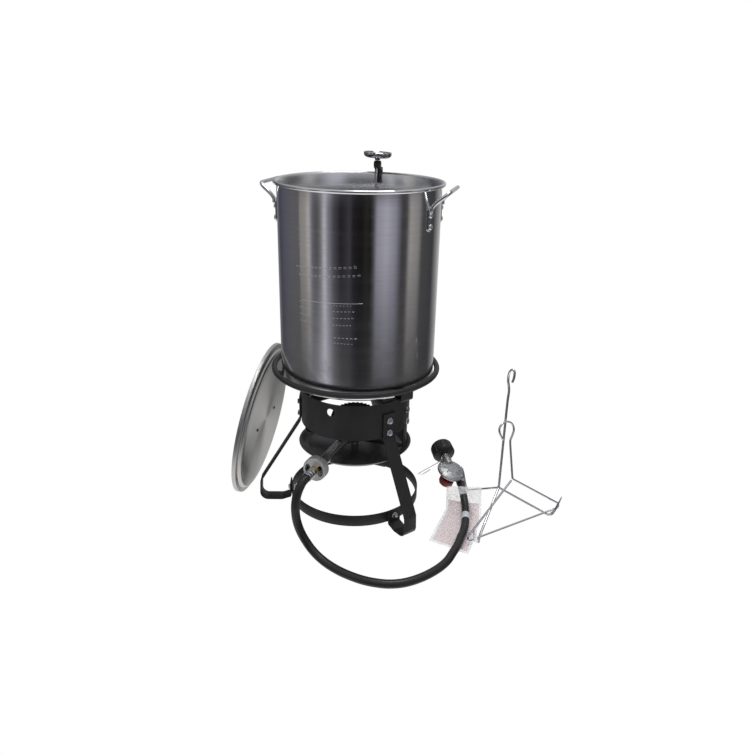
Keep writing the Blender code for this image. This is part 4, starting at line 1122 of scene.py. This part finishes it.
def build_orifice():
    mesh = bmesh.new()
    thread = [(5.0 if k % 2 else 4.6, 187.5 + k * 0.5) for k in range(20)]
    revolve(mesh, [(0, 186.0), (3.6, 186.0), (4.6, 187.0)] + thread
            + [(4.6, 198.0), (7.6, 198.1)], 28)
    hex_head(mesh, 198.1, 205.6, 7.9)
    revolve(mesh, [(5.0, 205.4), (5.0, 208.4), (0, 208.6)], 28)
    add("orifice_fitting", mesh, "brass", "stand", "gas_orifice", TUBE_FRAME, 30.0)

    mesh = bmesh.new()
    revolve(mesh, [(5.4, 206.2), (8.2, 206.2), (9.2, 206.8), (9.4, 208.0), (9.4, 212.0),
                   (8.95, 212.8), (8.95, 215.0), (9.4, 215.8), (9.4, 219.6), (8.95, 220.4),
                   (8.95, 222.6), (9.4, 223.4), (9.4, 227.6), (9.0, 228.8), (8.6, 229.0),
                   (8.45, 228.0), (8.45, 209.2), (5.4, 209.0)], 48, True)
    add("ferrule_burner", mesh, "plated", "stand", "hose_ferrule_burner",
        TUBE_FRAME)


# ---------------------------------------------------------------- hose
HOSE_START = Vector((0, 0, TUBE_Z)) + TUBE_AXIS * 209.2
# x, y, z: from the burner down to the ground, forwards and round to the regulator
HOSE_PATH = spline([
    HOSE_START, HOSE_START + TUBE_AXIS * 10, HOSE_START + TUBE_AXIS * 20.5,
    (-95.8, -220.6, 162.5), (-101.4, -227.8, 153.5), (-106.2, -232.0, 139.5),
    (-108.8, -233.6, 122.0), (-109.0, -232.8, 104.0), (-107.4, -231.9, 88.0),
    (-104.0, -231.8, 73.0), (-98.7, -232.6, 58.5), (-90.6, -235.4, 44.0),
    (-79.8, -242.2, 31.0), (-65.5, -252.3, 20.5), (-46.0, -267.0, 13.5),
    (-19.7, -285.6, 10.0), (11.5, -303.0, 9.0), (38.0, -312.5, 8.9), (65.5, -316.4, 8.9),
    (95.0, -311.6, 8.9), (127.0, -295.6, 8.9), (156.0, -272.4, 8.9), (176.6, -248.2, 9.0),
    (190.4, -223.2, 9.5), (203.0, -198.0, 10.0), (211.2, -176.0, 10.2),
    (220.5, -152.0, 10.4), (227.6, -127.0, 10.8), (232.3, -102.0, 12.4),
    (234.6, -84.0, 14.8), (235.6, -66.0, 19.2), (235.6, -48.0, 25.2), (235.3, -30.0, 29.6),
    (235.0, -14.0, 31.3), (OUTLET_X, 0.0, OUTLET_Z), (OUTLET_X, 8.0, OUTLET_Z),
    (OUTLET_X, 20.6, OUTLET_Z)], 8)


def build_hose():
    mesh = bmesh.new()
    rod(mesh, HOSE_PATH, 8.2, 28)
    add("hose_tube", mesh, "hose", "stand", "gas_hose", None, 40.0)

    mesh = bmesh.new()
    rod(mesh, [p for p in HOSE_PATH if p.x > 150 and -112.5 <= p.y <= -92.5],
        lambda t: 8.75 + 0.10 * sin(t * 9.0), 28)
    add("hose_label_band", mesh, "sleeve", "stand", "hose_sleeve", None, 40.0)

    mesh = bmesh.new()
    revolve(mesh, [(8.5, 46.0), (9.3, 46.2), (9.5, 47.0), (9.5, 51.6), (9.0, 52.6),
                   (9.0, 54.8), (9.5, 55.8), (9.5, 60.6), (9.0, 61.6), (9.0, 63.6),
                   (9.5, 64.6), (9.5, 67.2), (9.1, 68.0), (8.5, 68.0)], 48, True)
    add("ferrule_regulator", mesh, "plated", "stand",
        "hose_ferrule_regulator", OUTLET_FRAME)


# ---------------------------------------------------------------- regulator
def build_regulator_casting():
    to_local = REGULATOR_FRAME.inverted()
    mesh = bmesh.new()
    revolve(mesh, round_outline([(0, 5.0), (24.0, 5.0), (31.0, 2.6), (31.0, -2.2),
                                 (26.0, -5.0), (14.0, -8.0), (0, -9.0)],
                                [0, 3, 1.6, 1.6, 2.5, 5.0, 0], 5), 96)
    revolve(mesh, [(30.9, 1.2), (31.3, 0.9), (31.3, -0.5), (30.9, -0.8)], 96)  # crimped seam
    for k in range(6):            # flange screws
        a = 2 * pi * (k + 0.5) / 6
        with placed(mesh, Matrix.Translation((26.6 * cos(a), 26.6 * sin(a), -4.4))):
            revolve(mesh, [(2.6, 1.4), (2.6, 0.0), (2.5, -0.9), (1.6, -1.5), (0, -1.6)], 18)
    for k in range(8):            # radial ribs of the cap
        turn = Matrix.Rotation(2 * pi * k / 8, 4, 'Z') @ Matrix.Translation((0, 0, -7.6))
        with placed(mesh, turn):
            prism(mesh, [(7.0, -0.8), (20.0, -0.8), (20.0, 0.8), (7.0, 0.8)],
                  -0.8, 0.7, 0.3)
    with placed(mesh, to_local @ INLET_FRAME):
        revolve(mesh, round_outline([(0, 3.0), (9.4, 3.0), (9.4, 24.0), (0, 24.0)],
                                    [0, 0, 1.2, 0], 4), 40)
        revolve(mesh, round_outline([(0, 14.0), (10.4, 14.0), (10.4, 18.0), (0, 18.0)],
                                    [0, 0.8, 0.8, 0], 3), 40)
    with placed(mesh, to_local @ OUTLET_FRAME):
        revolve(mesh, round_outline([(0, 28.0), (5.5, 28.0), (5.5, 45.6), (0, 45.6)],
                                    [0, 0, 0.6, 0], 3), 28)
    with placed(mesh, to_local @ frame_at((230.0, 34.0, 0.0), UP)):
        revolve(mesh, round_outline([(0, 25.0), (6.0, 25.0), (6.0, 55.0), (0, 55.0)],
                                    [0, 1.0, 0, 0], 3), 32)
    # slot 1, the darkened die-cast metal of painted shade, is given to no face here
    add("regulator_casting", mesh, ["diecast", "diecast_dark"], "stand",
        "regulator_body", REGULATOR_FRAME)


def build_regulator_knob():
    """Ribbed neck and the lobed knob on it."""
    mesh = bmesh.new()
    revolve(mesh, round_outline([(0, 22.0), (9.5, 22.0), (12.5, 18.0), (13.5, 5.4), (0, 5.4)],
                                [0, 1.0, 2.0, 0.6, 0], 4), 60)
    for k in range(10):
        with placed(mesh, Matrix.Rotation(2 * pi * k / 10, 4, 'Z')):
            prism(mesh, [(11.4, -0.6), (13.5, -0.6), (13.5, 0.6), (11.4, 0.6)],
                  6.2, 15.0, 0.3)
    # the neck takes the darkened die-cast metal: painted shade
    add("regulator_neck", mesh, "diecast_dark", "stand", "regulator_bonnet",
        REGULATOR_FRAME)

    knob = round_outline([(0, 38.8), (10.0, 38.8), (14.6, 38.2), (16.0, 36.0), (16.0, 24.8),
                          (14.9, 23.0), (12.0, 22.4), (0, 22.4)],
                         [0, 2, 1.5, 1.2, 1.0, 0.8, 0, 0], 3)
    mesh = bmesh.new()
    revolve(mesh, knob, 216, swell=lambda i, a: (
        0.65 * cos(9 * a) ** 5 if 6 < i < len(knob) - 5 else 0.0))
    add("knob_grip", mesh, "knob", "pressure_knob", "pressure_knob",
        REGULATOR_FRAME)


def build_inlet():
    """Nipple and the ribbed coupling nut round it."""
    mesh = bmesh.new()
    revolve(mesh, round_outline([(0, 58.0), (3.5, 58.0), (6.6, 55.0), (8.2, 49.0),
                                 (8.2, 45.0), (7.0, 41.5), (7.0, 24.3), (0, 24.3)],
                                [0, 1, 3, 3, 2, 1, 0, 0], 4), 40)
    hex_head(mesh, 24.3, 29.0, 7.9)
    add("nipple", mesh, "plated", "stand", "inlet_nipple", INLET_FRAME)

    nut = round_outline([(18.4, 64.0), (22.6, 64.0), (24.6, 60.0), (25.2, 44.0),
                         (25.2, 38.2), (22.0, 33.8), (12.4, 31.0), (7.5, 31.0),
                         (7.5, 37.0), (18.4, 40.8)],
                        [0.5, 1.2, 2.5, 2, 2.5, 3, 1.5, 0.5, 0.5, 1], 4, True)

    def grooves(i, angle):
        radius, z = nut[i]
        off = abs(2 * ((angle * 12 / (2 * pi)) % 1.0) - 1)
        if radius > 22.4 and 37.0 < z < 61.0 and off < 0.28:
            return -1.3 * (1 - off / 0.28) ** 0.6
        return 0.0

    mesh = bmesh.new()
    revolve(mesh, nut, 240, True, grooves)
    for k in range(14):           # inner thread
        z = 43.0 + k * 1.4
        revolve(mesh, [(18.4, z), (17.7, z + 0.5), (18.4, z + 1.0)], 40)
    add("nut_body", mesh, "nut", "coupling_nut", "coupling_nut", INLET_FRAME)


def build_tie_wire():
    """Thin wire looped once round the inlet, its tail bent down to the ground."""
    loop = []
    for k in range(21):
        a = radians(435 - 15 * k)
        loop.append(INLET_FRAME @ Vector((9.0 * cos(a), 9.0 * sin(a), 27.6 + 0.06 * k)))
    tail = [(185.0, 56.0, 52.0), (176.0, 66.0, 40.0), (150.5, 97.5, 3.4), (148.6, 98.4, 1.6),
            (150.6, 99.4, 1.3), (160.5, 98.6, 1.3), (170.0, 109.0, 1.3), (179.0, 120.0, 1.3)]
    tail = round_path([loop[-1]] + tail, [3, 6, 1.2, 1.0, 1.0, 2.0, 5.0], 5)[1:]
    mesh = bmesh.new()
    rod(mesh, loop + tail, 0.95, 10, 0.4)
    add("tie_wire_bent", mesh, "plated", "stand", "tie_wire", None, 40.0)


# ---------------------------------------------------------------- bag
HOSE_BY_BAG = [p for p in HOSE_PATH if p.x > 150 and -240 < p.y < 0][::2]
HOSE_CLEARANCE = 9.0              # the sheets are left open this close to the hose's centre


def bag_point(s, t):
    """s: 0 at the raised edge, 1 where it meets the ground, 2 at the far edge. t: across."""
    raised = Vector((198.0, -39.5, 50.0)).lerp(Vector((272.5, -44.0, 50.0)), t)
    fold = Vector((198.8, -48.0, 1.1)).lerp(Vector((266.0, -99.0, 1.1)), t)
    if s <= 1.0:
        control = Vector((raised.x, raised.y * 0.72 + fold.y * 0.28, 3.0))
        return raised * (1 - s) ** 2 + control * 2 * s * (1 - s) + fold * s * s
    far = Vector((149.5, -170.0, 1.1)).lerp(Vector((222.5, -216.5, 1.1)), t)
    point = fold.lerp(far, s - 1.0)
    point.z = 1.1
    return point


def hose_gap(point):
    best = 1e9
    for start, end in zip(HOSE_BY_BAG[:-1], HOSE_BY_BAG[1:]):
        d = end - start
        share = max(0.0, min(1.0, (point - start).dot(d) / d.dot(d)))
        best = min(best, (point - start - d * share).length)
    return best


def wrinkle(s, t, height):
    p = Vector((t * 5.0, s * 4.2, 3.7))
    waves = (noise.noise(p) + 0.5 * noise.noise(p * 2.3 + Vector((4, 1, 0)))
             + 0.22 * noise.noise(p * 5.1))
    crease = (0.6 * max(0.0, 1 - abs(t * 1.3 + s * 0.55 - 0.95) / 0.06)
              - 0.5 * max(0.0, 1 - abs(t - s * 0.5 - 0.28) / 0.05))
    return (waves * 1.1 + crease) * height


def bag_lift(s, t, gap, height):
    """On the ground the sheet only lifts, and it stays flat near the hose."""
    lift = wrinkle(s, t, height)
    if s > 1.0:
        return abs(lift) * 0.6 * min(1.0, max(0.0, (gap - 9.5) / 14.0))
    if s > 0.8:
        blend = (s - 0.8) / 0.2
        lift = lift * (1 - blend) + abs(lift) * 0.6 * blend
        return lift * min(1.0, max(0.0, (gap - 9.5) / 10.0))
    return lift


def bag_normal(s, t):
    e = 0.02
    along = bag_point(min(2.0, s + e), t) - bag_point(max(0.0, s - e), t)
    across = bag_point(s, min(1.0, t + e)) - bag_point(s, max(0.0, t - e))
    normal = across.cross(along).normalized()
    if normal.z < 0 and s > 0.8:
        normal = -normal
    if s < 0.8 and normal.y > 0:
        normal = -normal
    return normal


def bag_sheet(name, material, offset, s_range, t_range, height, s_steps, t_steps,
              replaces=None):
    mesh = bmesh.new()
    uv_layer = mesh.loops.layers.uv.new("UVMap")
    (s0, s1), (t0, t1) = s_range, t_range
    grid, uvs = [], {}
    for i in range(s_steps + 1):
        row = []
        for j in range(t_steps + 1):
            s = s0 + (s1 - s0) * i / s_steps
            t = t0 + (t1 - t0) * j / t_steps
            point = bag_point(s, t)
            lift = bag_lift(s, t, hose_gap(point), height)
            point = point + bag_normal(s, t) * (lift + offset)
            if point.z < 0.45:
                point.z = 0.45 + offset * 0.2
            row.append(mesh.verts.new(point))
            uvs[row[-1]] = ((t - t0) / (t1 - t0), (s - s0) / (s1 - s0))
        grid.append(row)
    for row, after in zip(grid[:-1], grid[1:]):
        for j in range(t_steps):
            if hose_gap((row[j].co + after[j + 1].co) / 2) < HOSE_CLEARANCE:
                continue
            face = mesh.faces.new((row[j], after[j], after[j + 1], row[j + 1]))
            for loop in face.loops:
                loop[uv_layer].uv = uvs[loop.vert]
    for vert in [v for v in mesh.verts if not v.link_faces]:
        mesh.verts.remove(vert)
    add(name, mesh, material, "stand", replaces, None, 60.0, weld=False)


def build_bag():
    film = dict(s_range=(0.0, 2.0), t_range=(0.0, 1.0), height=1.6, s_steps=150, t_steps=72)
    bag_sheet("bag_front_film", "bag_film", offset=0.45, replaces="instruction_bag", **film)
    bag_sheet("bag_back_film", "bag_film", offset=-0.25, **film)
    bag_sheet("bag_leaflet", "leaflet", offset=0.1, s_range=(0.42, 1.94),
              t_range=(0.06, 0.94), height=1.2, s_steps=130, t_steps=64)


# ---------------------------------------------------------------- rack and hook
def build_rack():
    """Upright rod with a hooked top on three legs whose ends are flattened and turned up."""
    joint = Vector((301.4, -78.3, 69.9))
    upright = subdivide([joint + Vector((-0.03, 0.0, -3.6)), joint + Vector((0.2, -0.05, 40)),
                         Vector((302.2, -78.5, 240))], 30)
    upright += spline([
        (302.6, -78.5, 272.0), (303.4, -78.6, 288.0), (302.2, -78.8, 299.0),
        (300.0, -79.2, 309.0), (299.3, -79.8, 318.0), (299.6, -81.5, 326.4),
        (301.3, -85.6, 334.6), (304.6, -90.0, 338.6), (307.4, -93.4, 335.0),
        (307.3, -94.5, 327.0), (306.3, -94.6, 320.0), (304.6, -94.5, 314.0)], 6)
    # reach from the rod, z, half width, half thickness
    stations = [
        (0, 69.6, 2.3, 2.3), (4, 67.4, 2.4, 2.4), (60, 33.8, 2.4, 2.4), (94, 13.6, 2.4, 2.4),
        (101, 9.0, 2.6, 2.2), (106, 6.0, 3.3, 1.8), (111, 3.7, 4.3, 1.5),
        (116, 3.8, 4.8, 1.3), (121, 7.6, 4.9, 1.2), (126, 17.0, 4.6, 1.1),
        (130, 29.0, 3.9, 1.05), (133.5, 39.0, 2.6, 0.9), (135.2, 44.5, 1.5, 0.75),
        (136, 47.8, 0.5, 0.5)]
    line = spline([station[:3] for station in stations], 5)      # x reach, y height, z width
    thickness = spline([(station[3], 0, 0) for station in stations], 5)
    mesh = bmesh.new()
    rod(mesh, upright, 2.4, 16, 0.8)
    for azimuth in (0.56, -119.4, 115.0):
        out, around = spoke(radians(azimuth))
        rows = []
        for j, point in enumerate(line):
            before, after = line[max(0, j - 1)], line[min(len(line) - 1, j + 1)]
            slope = Vector((after.x - before.x, after.y - before.y)).normalized()
            row = []
            for k in range(16):
                # superellipse section
                a = 2 * pi * k / 16
                wide = point.z * copysign(abs(cos(a)) ** 0.85, cos(a))
                deep = thickness[j].x * copysign(abs(sin(a)) ** 0.85, sin(a))
                row.append(mesh.verts.new(
                    Vector((joint.x, joint.y, 0)) + out * (point.x - slope.y * deep)
                    + UP * (point.y + slope.x * deep) + around * wide))
            rows.append(row)
        bridge(mesh, rows)
    # weld where the legs meet the rod
    with placed(mesh, Matrix.Translation(joint + Vector((0, 0, -0.6)))
                @ Matrix.Diagonal((1.0, 1.0, 1.15, 1.0))):
        bmesh.ops.create_uvsphere(mesh, u_segments=20, v_segments=12, radius=3.5)
    add("rack_wire", mesh, "plated", "rack", "poultry_rack", None, 40.0)


def build_hook():
    """Wire triangle with a hooked top, leaning back; drawn as (across, up the slope)."""
    lean = radians(12.546)
    origin = Vector((332.1, -124.2, 11.7))
    across, back = spoke(radians(30.573))
    slope = back * sin(lean) + UP * cos(lean)
    crook = [(-16.4, 184.9), (-19.4, 186.8), (-23.3, 194.4), (-25.8, 202.2), (-25.5, 209.4),
             (-20.8, 215.2), (-13.7, 218.8), (-4.4, 219.0), (4.5, 214.8), (10.1, 208.1),
             (11.8, 198.5), (8.9, 191.8), (4.6, 184.8), (0.8, 178.6), (0.0, 170.0),
             (0.0, 150.0)]
    triangle = round_path([(0.0, 150.0, 0), (0.0, 97.1, 0), (136.46, 0, 0), (-136.46, 0, 0),
                           (-3.2, 94.8, 0)], [7.0, 6.0, 6.0], 8)
    flat = spline([(x, y, 0) for x, y in crook], 5) + triangle[1:]
    mesh = bmesh.new()
    rod(mesh, subdivide([origin + across * p.x + slope * p.y for p in flat], 20),
        2.1, 16, 0.6)
    add("hook_wire", mesh, "plated", "lifting_hook", "lifting_hook",
        None, 40.0)


# ---------------------------------------------------------------- stage
def build_floor():
    """Matt floor that the camera sees as pure white."""
    half, z = 30, -0.0004
    mat = Material("stage_floor")
    mat.set("Base Color", mat.mix(mat.noise(mat.coords(), scale=3.0),
                                  (0.90, 0.90, 0.90), (0.94, 0.94, 0.94)))
    mat.set("Roughness", 0.9)
    mat.set("Specular IOR Level", 0.1)
    glow = mat.node("Emission", {"Color": (1, 1, 1)}).outputs[0]
    seen = mat.node("LightPath").outputs["Is Camera Ray"]
    mat.surface(mat.mix_shader(seen, mat.shader.outputs[0], glow))
    data = bpy.data.meshes.new("stage_floor")
    data.from_pydata([(-half, -half, z), (half, -half, z), (half, half, z), (-half, half, z)],
                     [], [(0, 1, 2, 3)])
    data.materials.append(MATERIALS["stage_floor"])
    floor = link_object("stage_floor", data)
    floor.visible_glossy = False


# Soft vertical cards seen in reflections: (azimuth + 180) / 360, colour
UPPER_CARDS = [
    (0.0, (.26, .25, .23)), (0.030, (.30, .29, .27)), (0.046, (.46, .45, .45)),
    (0.064, (.13, .13, .15)), (0.084, (.08, .08, .085)), (0.100, (.16, .16, .17)),
    (0.116, (.52, .52, .55)), (0.130, (.22, .22, .26)), (0.152, (.07, .068, .08)),
    (0.180, (.014, .013, .015)), (0.200, (.03, .028, .033)), (0.214, (.050, .045, .055)),
    (0.228, (.013, .012, .014)), (0.262, (.008, .008, .008)), (0.276, (.022, .020, .017)),
    (0.294, (.010, .010, .010)), (0.306, (.07, .07, .08)), (0.318, (.30, .30, .36)),
    (0.355, (.40, .40, .46)), (0.392, (.26, .26, .32)), (0.408, (.13, .13, .15)),
    (0.420, (.05, .05, .055)), (0.440, (.065, .06, .06)), (0.458, (.34, .33, .32)),
    (0.500, (.25, .24, .24)), (0.522, (.07, .07, .07)), (0.600, (.05, .05, .055)),
    (0.700, (.55, .55, .55)), (0.850, (.06, .06, .09)), (0.905, (.10, .10, .13)),
    (0.960, (.12, .12, .13))]
LOWER_CARDS = [
    (0.0, (.06, .058, .06)), (0.045, (.13, .13, .14)), (0.080, (.22, .22, .24)),
    (0.116, (.46, .46, .52)), (0.135, (.32, .32, .36)), (0.155, (.14, .14, .15)),
    (0.185, (.075, .075, .08)), (0.220, (.055, .055, .058)), (0.245, (.024, .023, .027)),
    (0.285, (.032, .032, .033)), (0.315, (.060, .060, .062)), (0.400, (.066, .066, .068)),
    (0.520, (.060, .060, .062)), (0.610, (.05, .05, .052)), (0.700, (.40, .40, .40)),
    (0.860, (.07, .07, .075)), (0.920, (.09, .09, .09))]


def build_world():
    """White to every ray but glossy ones, which see the cards."""
    world = bpy.data.worlds.new("studio")
    bpy.context.scene.world = world
    world.use_nodes = True
    world.node_tree.nodes.clear()
    sky = Graph(world.node_tree)
    axes = sky.separate(sky.node("TexCoord").outputs["Generated"])
    z = axes["Z"]
    turn = sky.remap(sky.math('ARCTAN2', axes["Y"], axes["X"]), 0.0, 1.0, span=(-pi, pi))
    upper = sky.ramp(turn, UPPER_CARDS)
    lower = sky.ramp(turn, LOWER_CARDS)
    # spans are the height of the ray's direction over which one zone fades into the next
    cards = sky.mix(sky.remap(z, 0.0, 1.0, span=(-0.40, -0.20)), lower, upper)
    cards = sky.mix(sky.remap(z, 0.0, 1.0, span=(0.15, 0.75)), cards, (0.50, 0.51, 0.53))
    cards = sky.mix(sky.remap(z, 1.0, 0.0, span=(-0.80, -0.45)), cards, (0.95, 0.95, 0.96))
    reflected = sky.node("Background", {"Color": cards, "Strength": 1.0}).outputs[0]
    white = sky.node("Background", {"Color": (1, 1, 1), "Strength": 1.0}).outputs[0]
    glossy = sky.node("LightPath").outputs["Is Glossy Ray"]
    sky.node("OutputWorld", {"Surface": sky.mix_shader(glossy, white, reflected)})


def area_light(name, location, target, size, energy, glossy):
    data = bpy.data.lights.new(name, 'AREA')
    data.energy = energy
    data.size = size
    light = link_object(name, data)
    light.location = location
    aim = Vector(target) - Vector(location)
    light.rotation_euler = aim.to_track_quat('-Z', 'Y').to_euler()
    light.visible_glossy = glossy


def build_lights():
    area_light("key", location=(-1.3, -1.5, 2.3), target=(0, 0, 0.25), size=1.0,
               energy=26.0, glossy=False)
    area_light("top", location=(0.2, 0.1, 2.4), target=(0, 0, 0.2), size=0.9,
               energy=16.0, glossy=True)


def build_camera():
    data = bpy.data.cameras.new("camera")
    data.lens = 34.015
    data.sensor_width = 36.0
    data.sensor_fit = 'HORIZONTAL'
    camera = link_object("camera", data)
    forward = Vector((0.03053, 0.92842, -0.37028)).normalized()
    right = Vector((0.99948, -0.02463, 0.02066)).normalized()
    camera.matrix_world = axes_matrix(
        right, right.cross(forward).normalized(), -forward,
        (STAND_AXIS.x * MM, -1.37265 + STAND_AXIS.y * MM, 0.83115))
    bpy.context.scene.camera = camera
    bpy.context.scene.view_settings.view_transform = 'Standard'


build_materials()
build_pot_shell()
build_pot_marks()
build_handles()
build_thermometer()
build_clip()
build_lid()
build_pot_ring()
build_wind_guard()
build_base_and_legs()
build_bolts()
build_burner_support()
build_burner_casting()
build_mixing_tube()
build_air_shutter()
build_orifice()
build_hose()
build_regulator_casting()
build_regulator_knob()
build_inlet()
build_tie_wire()
build_bag()
build_rack()
build_hook()
build_floor()
build_world()
build_lights()
build_camera()
